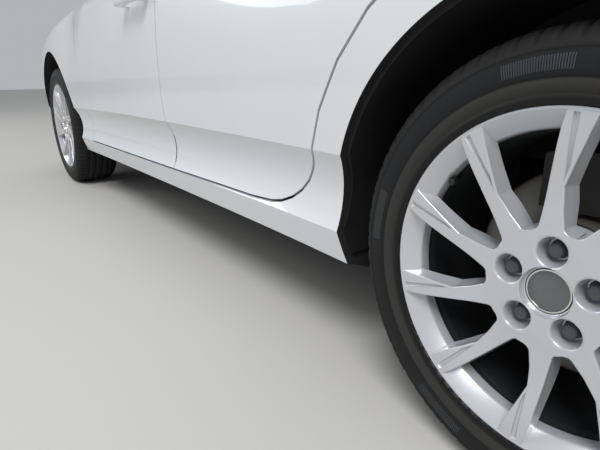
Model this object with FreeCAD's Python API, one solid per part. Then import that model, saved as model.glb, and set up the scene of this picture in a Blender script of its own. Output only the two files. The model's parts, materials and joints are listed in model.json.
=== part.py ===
import FreeCAD, Part
import math
import os

# Four-door saloon car, standing on its wheels. +X is forward, +Y the car's left, +Z up, in millimetres.
# The origin is on the ground under the middle of the car's length and width.

V = FreeCAD.Vector

# Overall sizes
WHEELBASE = 2808.0
FRONT_OVERHANG = 872.0
REAR_OVERHANG = 1022.0
HALF_LENGTH = (WHEELBASE + FRONT_OVERHANG + REAR_OVERHANG) / 2
X_FRONT = HALF_LENGTH - FRONT_OVERHANG
X_REAR = X_FRONT - WHEELBASE
TRACK = 1553.0
HALF_WIDTH = 910.0

# Shut gaps and running clearances
GAP = 6.0
SEAT = 0.3

# Wheel, tyre and brake sizes; y is measured outwards from the wheel's middle plane
TYRE_R = 326.5
TYRE_HALF = 113.0
TYRE_WALL = 11.0
RIM_HALF = 106.0
RIM_FLANGE_R = 234.0
BEAD_R = 218.0
BARREL_WALL = 7.0
LIP_R = 208.0
WELL_R = 203.0
SPOKES = 10
SPOKE_TIP_R = 231.0
HUB_FACE_Y = 95.0
TIP_FACE_Y = 105.0
FOOT_R = 79.0
CAP_R = 30.5
CAP_FACE_Y = 86.5
BOLTS = 5
BOLT_CIRCLE_R = 56.0
POCKET_R = 14.5
POCKET_MOUTH_R = 16.5
POCKET_FLOOR_Y = 64.0
GROOVE_DEPTH = 3.8
GROOVE_START = 142.0
GROOVE_END = 224.0
DISC_R = 150.0
DISC_THICK = 22.0
HUB_BORE_R = 32.0
HAT_Y = 42.0

# Wheel arches, doors and their gaps, from the side
ARCH_R = 394.0
DOOR_ARCH_R = 478.0
DOOR_FOOT_Z = 304.0
FRONT_DOOR_X = X_FRONT - 590.0
DOOR_SPLIT_X = X_REAR + 1210.0

# Lower body, one row for each station along the car. Columns: x, half width, sill's lower edge z, crease z,
# shoulder z, belt z, crown z at the middle, tuck-in of the sill, depth of the hollow under the crease
LOWER = [
    (HALF_LENGTH, 0.47, 330, 425, 520, 560, 600, 30, 0),
    (HALF_LENGTH - 26, 0.625, 262, 420, 560, 615, 655, 40, 0),
    (HALF_LENGTH - 81, 0.758, 225, 415, 590, 650, 695, 45, 0),
    (HALF_LENGTH - 181, 0.868, 215, 415, 625, 690, 735, 45, 0),
    (X_FRONT + 521, 0.947, 215, 420, 680, 745, 795, 45, 0),
    (X_FRONT + 271, 0.984, 220, 428, 740, 805, 850, 45, 0),
    (X_FRONT, 0.998, 228, 440, 785, 852, 895, 45, 0),
    (X_FRONT - 479, 0.987, 234, 452, 838, 908, 955, 45, 12),
    (X_FRONT - 1079, 0.9835, 238, 460, 862, 930, 985, 45, 20),
    (X_REAR + 1029, 0.9846, 240, 462, 870, 942, 1000, 45, 20),
    (X_REAR + 429, 0.992, 240, 460, 880, 957, 1015, 45, 12),
    (X_REAR, 1.0, 236, 452, 886, 970, 1030, 45, 0),
    (X_REAR - 371, 0.989, 236, 442, 888, 978, 1040, 45, 0),
    (X_REAR - 671, 0.9615, 245, 445, 888, 982, 1040, 45, 0),
    (-HALF_LENGTH + 171, 0.9176, 258, 452, 888, 982, 1034, 45, 0),
    (-HALF_LENGTH + 61, 0.835, 282, 460, 872, 966, 1016, 45, 0),
    (-HALF_LENGTH + 16, 0.725, 312, 470, 822, 906, 950, 40, 0),
    (-HALF_LENGTH, 0.571, 360, 480, 700, 780, 820, 30, 0),
]
FLOOR_DROP = 46.0
FOOT_SHARE = 0.31
BELT_IN = 62.0

# Greenhouse, one row for each station. Columns: x, half width at the base, half width at the roof rail,
# rail z, crown z at the middle
UPPER = [
    (X_FRONT - 519, 822, 795, 905, 955),
    (X_FRONT - 779, 836, 738, 1045, 1108),
    (X_FRONT - 1079, 848, 672, 1205, 1262),
    (X_FRONT - 1359, 850, 618, 1328, 1383),
    (X_REAR + 1179, 850, 600, 1368, 1421),
    (X_REAR + 829, 850, 594, 1374, 1427),
    (X_REAR + 479, 846, 592, 1353, 1406),
    (X_REAR + 199, 836, 598, 1294, 1348),
    (X_REAR - 91, 815, 632, 1156, 1206),
    (X_REAR - 371, 780, 690, 1000, 1044),
    (X_REAR - 471, 762, 705, 935, 976),
]
UPPER_BASE_Z = 850.0


def line(a, b):
    return Part.LineSegment(a, b).toShape()


def arc(a, m, b):
    return Part.Arc(a, m, b).toShape()


def mirror_y(shape):
    return shape.mirror(V(0, 0, 0), V(0, 1, 0))


def box(x0, x1, y0, y1, z0, z1):
    return Part.makeBox(x1 - x0, y1 - y0, z1 - z0, V(x0, y0, z0))


def lower_section(row, side_in, base_up, top_down, end_in):
    """One closed section of the lower body, square to X, as lines and arcs."""
    x, share, low, crease, shoulder, belt, crown, tuck, hollow = row
    x *= 1 - end_in / HALF_LENGTH
    w = share * HALF_WIDTH - side_in
    base = low + base_up
    foot = base + FOOT_SHARE * (crease - base)
    top = belt - top_down
    edge = min(shoulder, top - 30)
    right = [
        (0.80 * w, base - FLOOR_DROP),
        (w - tuck, base),
        (w - tuck + 22, foot),
        (w - 9, crease),
        (w - 14, edge),
        (w - BELT_IN, top),
    ]
    mids = {
        2: (w - tuck * 0.42 - 10 - hollow * 0.55, foot + 0.55 * (crease - foot)),
        3: (w, (crease + edge) / 2 - 20),
        4: (w - 14 - 0.30 * (BELT_IN - 14), edge + 0.62 * (top - edge)),
    }
    p = [V(x, y, z) for y, z in right]
    q = [V(x, -y, z) for y, z in right]
    edges = [line(q[0], p[0]), line(p[0], p[1]), line(p[1], p[2])]
    for i in (2, 3, 4):
        edges.append(arc(p[i], V(x, *mids[i]), p[i + 1]))
    edges.append(arc(p[5], V(x, 0, crown - top_down), q[5]))
    for i in (4, 3, 2):
        y, z = mids[i]
        edges.append(arc(q[i + 1], V(x, -y, z), q[i]))
    edges += [line(q[2], q[1]), line(q[1], q[0])]
    return Part.Wire(edges)


def upper_section(row, side_in, top_down):
    """One closed section of the greenhouse, square to X."""
    x, base_y, rail_y, rail_z, crown = row
    by, ry = base_y - side_in, rail_y - side_in
    rz, cz = rail_z - top_down, crown - top_down
    ey, ez = ry - 72, rz + 0.5 * (cz - rz)
    base = min(UPPER_BASE_Z, rz - 20)
    p = [V(x, by, base), V(x, ry, rz), V(x, ey, ez)]
    q = [V(x, -v.y, v.z) for v in p]
    side = ((by + ry) / 2 + 0.035 * (rz - base), (base + rz) / 2)
    corner = (ry - 26, rz + 0.36 * (cz - rz))
    return Part.Wire([
        line(q[0], p[0]),
        arc(p[0], V(x, *side), p[1]),
        arc(p[1], V(x, *corner), p[2]),
        arc(p[2], V(x, 0, cz), q[2]),
        arc(q[2], V(x, -corner[0], corner[1]), q[1]),
        arc(q[1], V(x, -side[0], side[1]), q[0]),
    ])


def lower_solid(side_in=0.0, base_up=0.0, top_down=0.0, end_in=0.0):
    return Part.makeLoft([lower_section(r, side_in, base_up, top_down, end_in) for r in LOWER], True, False)


def upper_solid(side_in=0.0, top_down=0.0):
    return Part.makeLoft([upper_section(r, side_in, top_down) for r in UPPER], True, False)


def prism_side(points, y0, y1):
    """Outline given from the side as (x, z), carried across from y0 to y1."""
    wire = Part.makePolygon([V(x, y0, z) for x, z in points] + [V(points[0][0], y0, points[0][1])])
    return Part.Face(wire).extrude(V(0, y1 - y0, 0))


def prism_plan(points, z0, z1):
    """Outline given from above as (x, y), carried up from z0 to z1."""
    wire = Part.makePolygon([V(x, y, z0) for x, y in points] + [V(points[0][0], points[0][1], z0)])
    return Part.Face(wire).extrude(V(0, 0, z1 - z0))


def prism_front(points, x0, x1):
    """Outline given from the front as (y, z), carried along from x0 to x1."""
    wire = Part.makePolygon([V(x0, y, z) for y, z in points] + [V(x0, points[0][0], points[0][1])])
    return Part.Face(wire).extrude(V(x1 - x0, 0, 0))


def grown(points, by):
    """A closed outline moved out by a distance (in by a negative one), corners kept sharp."""
    area = sum(a[0] * b[1] - b[0] * a[1] for a, b in zip(points, points[1:] + points[:1]))
    turn = by if area > 0 else -by
    count = len(points)
    out = []
    for i in range(count):
        ax, ay = points[i - 1]
        bx, by_ = points[i]
        cx, cy = points[(i + 1) % count]
        u = (bx - ax, by_ - ay)
        w = (cx - bx, cy - by_)
        lu = math.hypot(*u)
        lw = math.hypot(*w)
        n1 = (u[1] / lu, -u[0] / lu)
        n2 = (w[1] / lw, -w[0] / lw)
        k = turn / (1 + n1[0] * n2[0] + n1[1] * n2[1])
        out.append((bx + k * (n1[0] + n2[0]), by_ + k * (n1[1] + n2[1])))
    return out


def ring(points, centre):
    """A solid turned about the Y axis through a centre. Points are (radius, y)."""
    x, y, z = centre
    pts = [V(x, y + b, z + a) for a, b in points]
    face = Part.Face(Part.makePolygon(pts + pts[:1]))
    return face.revolve(V(x, y, z), V(0, 1, 0), 360)


def rod(a, b, radius):
    a, b = V(*a), V(*b)
    return Part.makeCylinder(radius, (b - a).Length, a, b - a)


def skin_y(z):
    """Roughly where the car's side lies at a height, for the slant of the door edges."""
    return HALF_WIDTH - 15 if z < 850 else HALF_WIDTH - 60 - 0.5 * (z - 850)


def slanted(points, y0, y1):
    """Side outline whose points are (x, z, lean): each edge leans forward by lean for each mm inboard."""
    wires = []
    for y in (y0, y1):
        ring_points = [V(x + lean * (skin_y(z) - y), y, z) for x, z, lean in points]
        wires.append(Part.makePolygon(ring_points + ring_points[:1]))
    return Part.makeLoft(wires, True, True)


# Side outlines as (x, z). The roof rail's line sets the top of the doors and of their windows
RAIL = [(r[0], r[3]) for r in UPPER]


def rail_z(x):
    """Height of the roof rail at x, straight between the stations."""
    for (xa, za), (xb, zb) in zip(RAIL, RAIL[1:]):
        if xb <= x <= xa:
            return za + (zb - za) * (x - xa) / (xb - xa)
    return RAIL[0][1]


def arch_point(radius, degrees):
    a = math.radians(degrees)
    return (X_REAR + radius * math.cos(a), TYRE_R + radius * math.sin(a))


def arc_points(a, m, b, count):
    """Points along the arc from a through m to b, both ends included."""
    curve = Part.Arc(V(a[0], 0, a[1]), V(m[0], 0, m[1]), V(b[0], 0, b[1]))
    return [(p.x, p.z) for p in curve.discretize(count)]


FRAME_DROP = 30.0
WINDOW_DROP = 42.0
SILL_Z = DOOR_FOOT_Z - GAP
BELT_Z = 965.0

front_top = [(x, rail_z(x) - FRAME_DROP) for x in (X_FRONT - 779, X_FRONT - 1079, X_FRONT - 1359)]
FRONT_DOOR = [
    (FRONT_DOOR_X, DOOR_FOOT_Z, 0.0),
    (FRONT_DOOR_X, rail_z(FRONT_DOOR_X) - FRAME_DROP, 0.0),
    (front_top[0][0], front_top[0][1], 0.0),
    (front_top[1][0], front_top[1][1], 0.0),
    (front_top[2][0], front_top[2][1], 0.0),
    (DOOR_SPLIT_X, rail_z(DOOR_SPLIT_X) - FRAME_DROP, 0.32),
    (DOOR_SPLIT_X, 1150.0, 0.24),
    (DOOR_SPLIT_X, 950.0, 0.16),
    (DOOR_SPLIT_X, DOOR_FOOT_Z + 8, 0.12),
]
rear_lead_x = DOOR_SPLIT_X - GAP
REAR_DOOR = [
    (rear_lead_x, DOOR_FOOT_Z + 8, 0.12),
    (rear_lead_x, 950.0, 0.16),
    (rear_lead_x, 1150.0, 0.24),
    (rear_lead_x, rail_z(rear_lead_x) - FRAME_DROP, 0.32),
    (X_REAR + 829, rail_z(X_REAR + 829) - FRAME_DROP, 0.32),
    (X_REAR + 479, rail_z(X_REAR + 479) - FRAME_DROP, 0.45),
    (X_REAR + 330, 1270.0, 0.45),
    (X_REAR + 165, 985.0, 0.25),
    (X_REAR + 165, 880.0, 0.16),
] + [arch_point(DOOR_ARCH_R, d) + (0.14,) for d in (62, 50, 38, 26, 15)] + [
    (x, z, 0.14) for x, z in arc_points((X_REAR + 474, 424), (X_REAR + 534, 359), (X_REAR + 632, 323), 6)
] + [(X_REAR + 720, DOOR_FOOT_Z + 14, 0.12)]

FRONT_WINDOW = [
    (X_FRONT - 800, BELT_Z),
    (X_FRONT - 800, rail_z(X_FRONT - 800) - FRAME_DROP - WINDOW_DROP),
    (X_FRONT - 1079, rail_z(X_FRONT - 1079) - FRAME_DROP - WINDOW_DROP),
    (X_FRONT - 1359, rail_z(X_FRONT - 1359) - FRAME_DROP - WINDOW_DROP),
    (DOOR_SPLIT_X + 50, rail_z(DOOR_SPLIT_X) - FRAME_DROP - WINDOW_DROP),
    (DOOR_SPLIT_X + 50, BELT_Z),
]
REAR_WINDOW = [
    (rear_lead_x - 42, BELT_Z),
    (rear_lead_x - 42, rail_z(rear_lead_x) - FRAME_DROP - WINDOW_DROP),
    (X_REAR + 829, rail_z(X_REAR + 829) - FRAME_DROP - WINDOW_DROP),
    (X_REAR + 500, rail_z(X_REAR + 500) - FRAME_DROP - WINDOW_DROP),
    (X_REAR + 385, 1235.0),
    (X_REAR + 235, BELT_Z + 8),
    (X_REAR + 235, BELT_Z),
]


def top_outline(inset):
    """Windscreen, roof and rear window from above, inside the roof rails."""
    left = [(r[0], r[2] - inset) for r in UPPER[1:9]]
    front = [(X_FRONT - 500, UPPER[0][2] - inset + 8)]
    rear = [(X_REAR - 320, UPPER[9][2] - inset - 4)]
    side = front + left + rear
    return side + [(x, -y) for x, y in reversed(side)]


BONNET_REAR_X = X_FRONT - 430
BONNET_FRONT_X = HALF_LENGTH - 62
BONNET = [
    (BONNET_REAR_X, 752), (X_FRONT + 100, 742), (X_FRONT + 521, 690), (HALF_LENGTH - 181, 560),
    (HALF_LENGTH - 95, 420), (BONNET_FRONT_X, 0),
]
LID_FRONT_X = X_REAR - 345
LID = [(LID_FRONT_X, 655), (X_REAR - 671, 648), (-HALF_LENGTH + 61, 600), (-HALF_LENGTH - 20, 590)]
LID_FOOT_Z = 706.0


def mirrored_plan(points):
    return points + [(x, -y) for x, y in reversed(points) if y > 0]


def mirrored_lid(points, grow=0.0):
    side = [(x + (grow if i == 0 else 0), y + grow) for i, (x, y) in enumerate(points)]
    return side + [(x, -y) for x, y in reversed(side)]


BUMPER_FRONT = [
    (X_FRONT + 250, 140), (X_FRONT + 250, 470), (X_FRONT + 420, 486), (X_FRONT + 560, 560),
    (HALF_LENGTH + 20, 560), (HALF_LENGTH + 20, 140),
]
BUMPER_REAR = [
    (X_REAR - 250, 140), (X_REAR - 250, 500), (X_REAR - 420, 520), (X_REAR - 760, 640),
    (X_REAR - 800, 700), (-HALF_LENGTH - 20, 700), (-HALF_LENGTH - 20, 140),
]
HEADLAMP = [(430, 571), (430, 640), (560, 672), (940, 700), (940, 600), (760, 571)]
HEADLAMP_BACK_X = X_FRONT + 590
GRILLE_HALF = 420.0
TAIL_LAMP = [(606, 722), (606, 868), (940, 880), (940, 740)]
TAIL_LAMP_FRONT_X = X_REAR - 760

PILLAR_OUT_Y = 765.0
LEAF_Z = (470.0, 780.0)
JACK_PAD_X = (X_FRONT - 500, X_REAR + 520)
JACK_PAD_Z = 196.0

SEAM = 0.8
WALL_IN = 110.0
RAIL_IN = 30.0
PANEL = 14.0
LID_THICK = 24.0
GLASS_OUT = 4.0
GLASS_THICK = 5.0
FRONT_ARCH_R = 408.0
HOUSE_IN_FRONT = 486.0
HOUSE_IN_REAR = 640.0
LINER = 4.0
FLOOR_HALF = 724.0
COWL_HALF = 755.0
TUB_OUT_Y = HALF_WIDTH - WALL_IN + 6
LID_BRACKET_Y = (425.0,)


# Steering axis of the left front wheel, from the lower ball joint to the top mount of the strut
KING_LOW = (X_FRONT, 722.0, 172.0)
KING_TOP = (X_FRONT, 620.0, 800.0)
BALL_R = 16.0
STRUT_FOOT_Z = 360.0
TOP_BALL_R = 20.0
WHEEL_Y = TRACK / 2
STUB_FIT = 0.05

# Inside and underneath
FIREWALL_X = X_FRONT - 539
PLENUM_Z = 840.0
FLOOR_Z = 234.0
TUNNEL_HALF = 120.0
TUNNEL_Z = 400.0
BOOT_FLOOR_Z = 430.0
KICK_X = X_REAR + 330
SHELF_Z = 900.0
ENGINE_X = (X_FRONT - 210, X_FRONT + 430)
ENGINE_HALF = 260.0
GEARBOX_Z = 330.0
RAIL_Y = (395.0, 455.0)
TRAY_HALF = 340.0
PIPE_Z = 262.0
PIPE_R = 27.0
SILENCER_R = 95.0
SILENCER_X = X_REAR - 560
TAILPIPE_Y = 400.0
TAILPIPE_R = 32.0
DASH_HALF = 700.0
SEAT_Y = 370.0
SEAT_WIDTH = 500.0
COLUMN_Y = 370.0
COLUMN_TOP = (X_FRONT - 1010, 905.0)
COLUMN_LEAN = 24.0
WHEEL_GRIP_R = 183.0
GRIP_R = 15.0
COLUMN_R = 19.0


def front_wing(panel, cuts):
    over_cowl = box(FRONT_DOOR_X - 10, BONNET_REAR_X + GAP, -1, COWL_HALF, 850, 1200)
    by_screen = prism_plan(top_outline(30), 870, 1600).common(box(FRONT_DOOR_X - 10, X_FRONT - 519, -1, 900, 850, 1200))
    wing = panel.common(box(FRONT_DOOR_X + GAP, HALF_LENGTH, 300, 1200, SILL_Z + 2, 1300))
    wing = wing.cut(cuts + [over_cowl, by_screen])
    return biggest(wing)


def biggest(shape):
    return max(shape.Solids, key=lambda s: s.Volume)


def make_body(node):
    """Every panel of the body, its doors, lids and screens; the left side only where there are two."""
    outer_low = lower_solid()
    outer = outer_low.fuse(upper_solid())
    hollow = lower_solid(WALL_IN, 40, 30, 90).fuse(upper_solid(RAIL_IN, 26))
    half = box(-3000, 3000, 0, 1500, 0, 2000)
    outer_half = outer.common(half)
    wall = outer_half.cut(hollow)
    panel_inner = lower_solid(PANEL, PANEL, PANEL, PANEL)
    low_half = outer_low.common(half)
    lid_shell = low_half.cut(lower_solid(LID_THICK, LID_THICK, LID_THICK, LID_THICK))
    panel = low_half.cut(panel_inner)
    glass = upper_solid(GLASS_OUT, GLASS_OUT).common(half)
    glass = glass.cut(upper_solid(GLASS_OUT + GLASS_THICK, GLASS_OUT + GLASS_THICK))

    bonnet_cut = prism_plan(grown(mirrored_plan(BONNET), GAP), 600, 1300)
    lid_cut = prism_plan(mirrored_lid(LID, GAP), LID_FOOT_Z - GAP, 1300)
    front_bumper_cut = prism_side(BUMPER_FRONT, 0, 1200)
    rear_bumper_cut = prism_side(BUMPER_REAR, 0, 1200)
    front_wheel = wheel_space(X_FRONT, FRONT_ARCH_R, HOUSE_IN_FRONT)
    front_liner = wheel_space(X_FRONT, FRONT_ARCH_R + LINER, HOUSE_IN_FRONT)
    rear_wheel = wheel_space(X_REAR, ARCH_R, HOUSE_IN_REAR)
    rear_tub = wheel_space(X_REAR, ARCH_R + LINER, HOUSE_IN_REAR - LINER)
    headlamp_cut = prism_front(HEADLAMP, HEADLAMP_BACK_X, HALF_LENGTH + 20)
    tail_cut = prism_front(TAIL_LAMP, -HALF_LENGTH - 20, TAIL_LAMP_FRONT_X)
    top_cut = prism_plan(top_outline(30), 870, 1600)

    grille_cut = box(HALF_LENGTH - 200, HALF_LENGTH + 20, -1, GRILLE_HALF, 560, 700)
    wing = front_wing(panel, [bonnet_cut, front_bumper_cut, front_wheel, headlamp_cut, grille_cut])
    node["front_wing_left"] = wing
    bonnet = lid_shell.common(prism_plan(mirrored_plan(BONNET), 640, 1300))
    bonnet = biggest(bonnet).fuse(box(BONNET_REAR_X - GAP + SEAT, BONNET_REAR_X + 10, 560, 620, 908, 922))
    node["bonnet"] = whole(bonnet)
    lid = biggest(lid_shell.common(prism_plan(mirrored_lid(LID), LID_FOOT_Z, 1300)))
    for y in LID_BRACKET_Y:
        lid = lid.fuse(box(LID_FRONT_X - 10, LID_FRONT_X + GAP - SEAT, y, y + 50, 1001, 1015))
    node["boot_lid"] = whole(lid)

    intake = [box(HALF_LENGTH - 150, HALF_LENGTH + 20, -400, 400, z, z + 22) for z in (315, 351, 387)]
    node["front_bumper"] = whole(panel.common(front_bumper_cut).cut([front_wheel] + intake))
    pipes = [rod((-HALF_LENGTH - 20, TAILPIPE_Y, PIPE_Z + 20), (X_REAR - 700, TAILPIPE_Y, PIPE_Z + 20), 42)]
    open_below = box(X_REAR - 900, X_REAR - 200, -660, 660, 100, 380)
    node["rear_bumper"] = whole(panel.common(rear_bumper_cut).cut([rear_wheel, open_below] + pipes))
    node["headlamp_left"] = biggest(panel.common(headlamp_cut).cut([bonnet_cut]))
    node["tail_lamp_left"] = biggest(panel.common(tail_cut).cut([lid_cut]))
    grille = panel.common(box(HALF_LENGTH - 200, HALF_LENGTH + 20, -1, GRILLE_HALF, 560 + SEAM, 700))
    grille = grille.cut([bonnet_cut, headlamp_cut])
    slots = [box(HALF_LENGTH - 200, HALF_LENGTH + 20, 12, GRILLE_HALF - 14, z, z + 9) for z in (570, 586, 602, 618)]
    node["grille"] = whole(biggest(grille.cut(slots)))

    # Side frame: sill, pillars, roof rail, rear quarter and wheel tub in one
    side = wall.common(prism_side([
        (X_FRONT - 200, 100), (X_FRONT - 200, SILL_Z), (X_FRONT - 519, SILL_Z), (X_FRONT - 519, 870),
        (BONNET_REAR_X - GAP, 870), (BONNET_REAR_X - GAP, 1500), (-HALF_LENGTH, 1500), (-HALF_LENGTH, 100),
    ], 0, 1200))
    cowl_cut = box(X_FRONT - 530, BONNET_REAR_X + 10, -1, COWL_HALF, 850, 1200)
    low_cut = box(-3000, 3000, -1, FLOOR_HALF, 100, 420)
    openings = []
    for outline in (FRONT_DOOR, REAR_DOOR):
        flat = [(x, z) for x, z, lean in outline]
        openings.append(slanted([(x, z, o[2]) for (x, z), o in zip(grown(flat, GAP), outline)], 450, 1000))
    tub = rear_tub.cut(rear_wheel).common(box(X_REAR - 600, X_REAR + 600, 0, TUB_OUT_Y, FLOOR_Z + 8, 900))
    for tool in [low_cut, rear_wheel, top_cut, lid_cut, rear_bumper_cut, front_liner, tail_cut, cowl_cut] + openings:
        side = side.cut(tool)
    side = side.cut(wing)
    pads = [box(x - 45, x + 45, FLOOR_HALF + 6, FLOOR_HALF + 56, JACK_PAD_Z, JACK_PAD_Z + 60) for x in JACK_PAD_X]
    side = biggest(side).fuse([biggest(tub.cut(arm_gap())), b_pillar()] + pads)
    node["side_frame_left"] = biggest(side)

    # Roof and screens
    top = outer_half.cut(hollow).common(prism_plan(top_outline(30 + SEAM), 870, 1600))
    node["roof_panel"] = whole(biggest(top.common(box(X_REAR + 360, X_FRONT - 1150, -1, 900, 900, 1600))))
    screens = glass.common(prism_plan(top_outline(30 + SEAM), 900, 1600))
    front_screen = screens.common(box(X_FRONT - 1150 + SEAM, X_FRONT - 520, -1, 900, 900, 1600))
    rear_screen = screens.common(box(LID_FRONT_X + 20, X_REAR + 360 - SEAM, -1, 900, 900, 1600))
    node["windscreen"] = whole(biggest(front_screen))
    node["rear_window"] = whole(biggest(rear_screen))

    # Doors, each with its pane in a groove round the window and its pull handle
    for name, outline, window, handle_x in (
        ("front", FRONT_DOOR, FRONT_WINDOW, DOOR_SPLIT_X + 35),
        ("rear", REAR_DOOR, REAR_WINDOW, X_REAR + 330),
    ):
        door = wall.common(slanted(outline, 450, 1000))
        pane = glass.common(prism_side(grown(window, 12), 300, 1000))
        door = biggest(door.cut([prism_side(window, 300, 1000), pane]))
        handle = box(handle_x, handle_x + 205, 850, HALF_WIDTH + 22, 812, 842)
        handle = handle.makeFillet(9, handle.Edges)
        handle = handle.cut([outer, box(handle_x + 22, handle_x + 175, 850, HALF_WIDTH + 6, 800, 860)])
        if name == "front":
            leaf = (FRONT_DOOR_X - 12, FRONT_DOOR_X + GAP - SEAT, HALF_WIDTH - 95, HALF_WIDTH - 65)
        else:
            leaf = (rear_lead_x - 25, rear_lead_x - 2, PILLAR_OUT_Y + SEAT, PILLAR_OUT_Y + 25)
        leaves = [box(*leaf, z, z + 60) for z in LEAF_Z]
        node[name + "_door_left"] = biggest(door.fuse(handle.Solids + leaves))
        node[name + "_door_glass_left"] = biggest(pane)

    mirror = box(X_FRONT - 800, X_FRONT - 705, 892, 1020, 946, 1076)
    mirror = mirror.makeFillet(26, mirror.Edges)
    arm = box(X_FRONT - 775, X_FRONT - 725, 780, 930, 938, 962)
    node["mirror_left"] = biggest(mirror.fuse(arm).cut(outer))

    # Liner over each front wheel, open for the strut, and a felt one inside each rear arch
    liner = front_liner.cut(front_wheel).common(box(X_FRONT - 600, X_FRONT + 600, 0, 1000, 260, 900))
    strut_hole = Part.makeCylinder(92, 400, V(X_FRONT, KING_TOP[1], 500))
    liner = liner.common(panel_inner).cut(strut_hole)
    node["arch_liner_left"] = biggest(liner)
    felt = wheel_space(X_REAR, ARCH_R - SEAT, HOUSE_IN_REAR + SEAT)
    felt = felt.cut(wheel_space(X_REAR, ARCH_R - SEAT - 2 * LINER, HOUSE_IN_REAR - 1))
    felt = felt.common(box(X_REAR - 600, X_REAR + 600, 0, 1000, 262, 900)).common(panel_inner)
    node["rear_arch_liner_left"] = biggest(felt)
    make_floor(node, wall, hollow, rear_tub, front_liner)


def whole(left_half):
    return left_half.fuse(mirror_y(left_half)).removeSplitter()


def b_pillar():
    """Pillar inside the split of the doors, from the sill up to the edge of the roof."""
    mid = DOOR_SPLIT_X - GAP / 2
    top_y = 566.0
    foot_y = PILLAR_OUT_Y - 30
    outer = [(foot_y + 4, 262), (foot_y, 300), (foot_y, 425), (PILLAR_OUT_Y, LEAF_Z[0]), (PILLAR_OUT_Y, 850),
             (top_y, 1338), (top_y - 6, 1344)]
    inner = [(top_y - 44, 1344), (PILLAR_OUT_Y - 50, 840), (PILLAR_OUT_Y - 50, 290), (foot_y - 5, 262)]
    return prism_front(outer + inner, mid - 45, mid + 45)


def arm_gap():
    """Opening through floor and tub for the arms of the rear axle."""
    return box(X_REAR - 180, X_REAR + 180, 585, 700, 150, 456)


def wheel_space(x, radius, inner_y):
    return Part.makeCylinder(radius, 1200 - inner_y, V(x, inner_y, TYRE_R), V(0, 1, 0))


def make_floor(node, wall, hollow, rear_tub, front_liner):
    """Floor pan with tunnel, boot floor and bulkheads, and the frame round the engine."""
    low = FLOOR_HALF - SEAM
    pan = wall.common(box(X_REAR - 245, FIREWALL_X, -1, low, 100, 330)).cut(rear_tub)
    tunnel = box(KICK_X, FIREWALL_X, -1, TUNNEL_HALF, 150, TUNNEL_Z)
    channel = box(KICK_X - 200, FIREWALL_X + 1, -2, TUNNEL_HALF - 40, 100, TUNNEL_Z - 45)
    kick = box(KICK_X - 12, KICK_X, -1, 780, FLOOR_Z - 4, BOOT_FLOOR_Z)
    boot = box(-HALF_LENGTH + 95, KICK_X - 11, -1, 780, BOOT_FLOOR_Z - 12, BOOT_FLOOR_Z)
    back = prism_side([(KICK_X - 11, BOOT_FLOOR_Z - 6), (KICK_X - 31, BOOT_FLOOR_Z - 6),
                       (X_REAR - 20, SHELF_Z), (X_REAR, SHELF_Z)], -1, 780)
    shelf = box(LID_FRONT_X + 40, X_REAR, -1, 740, SHELF_Z - 14, SHELF_Z)
    tail = box(-HALF_LENGTH + 95, -HALF_LENGTH + 107, -1, 800, BOOT_FLOOR_Z - 12, 690)
    inside = tunnel.fuse([kick, boot, back, shelf, tail]).common(hollow)
    pan = pan.cut(box(KICK_X - 1000, KICK_X - 12, -2, 800, 100, FLOOR_Z - 1))
    pan = pan.fuse(inside).cut([channel, rear_tub, arm_gap()])
    for y in LID_BRACKET_Y:
        pan = pan.fuse([box(LID_FRONT_X + GAP, LID_FRONT_X + 19, y, y + 50, SHELF_Z - 14, 1013),
                        box(LID_FRONT_X + GAP, LID_FRONT_X + 60, y, y + 50, SHELF_Z - 14, SHELF_Z)])
    node["floor_pan"] = whole(biggest(pan))

    bulkhead = box(FIREWALL_X + SEAM, FIREWALL_X + 16, -1, 785, FLOOR_Z, 930).common(hollow)
    cowl = wall.common(box(X_FRONT - 519 + SEAM, BONNET_REAR_X - GAP, -1, COWL_HALF - SEAM, 860, 1200))
    cowl_top = prism_plan([(X_FRONT - 519, -1), (X_FRONT - 519, 772), (X_FRONT - 499, 772), (X_FRONT - 499, -1)],
                          870, 1600)
    cowl_front = BONNET_REAR_X - GAP
    plenum = box(FIREWALL_X + 15, cowl_front, -1, COWL_HALF - 15, PLENUM_Z, PLENUM_Z + 12)
    plenum = plenum.fuse(box(cowl_front - 12, cowl_front, -1, COWL_HALF - 15, PLENUM_Z, 930))
    rails = box(FIREWALL_X + 15, HALF_LENGTH - 110, RAIL_Y[0], RAIL_Y[1], 380, 500)
    inner_wing = box(FIREWALL_X + 15, HALF_LENGTH - 190, RAIL_Y[1] - 5, RAIL_Y[1] + 5, 440, KING_TOP[2] - 26)
    tower = Part.makeCylinder(78, 70, V(X_FRONT, KING_TOP[1], KING_TOP[2] - 50))
    tower = tower.cut(Part.makeSphere(TOP_BALL_R + SEAT, V(*KING_TOP)))
    tower = tower.cut(Part.makeCone(60, 17, 44, V(X_FRONT, KING_TOP[1], KING_TOP[2] - 50)))
    bracket = box(X_FRONT - 60, X_FRONT + 60, RAIL_Y[1] - 5, KING_TOP[1] - 65, KING_TOP[2] - 50, KING_TOP[2] - 26)
    radiator = box(HALF_LENGTH - 190, HALF_LENGTH - 150, -1, 640, 300, 640)
    beam = box(HALF_LENGTH - 150, HALF_LENGTH - 108, -1, 560, 430, 520)
    tray = wall.common(box(FIREWALL_X + SEAM, X_FRONT + 245, -1, TRAY_HALF, 100, 330))
    stay = box(FIREWALL_X + 16, FIREWALL_X + 60, 300, RAIL_Y[1], 180, 385)
    frame = rails.fuse([inner_wing, tower, bracket, radiator, beam, plenum]).common(hollow)
    frame = frame.fuse([bulkhead, cowl.cut(cowl_top), tray, stay])
    frame = frame.cut(rod((FIREWALL_X - 10, 0, PIPE_Z), (FIREWALL_X + 40, 0, PIPE_Z), PIPE_R + 6))
    node["front_frame"] = whole(biggest(frame))


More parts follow.
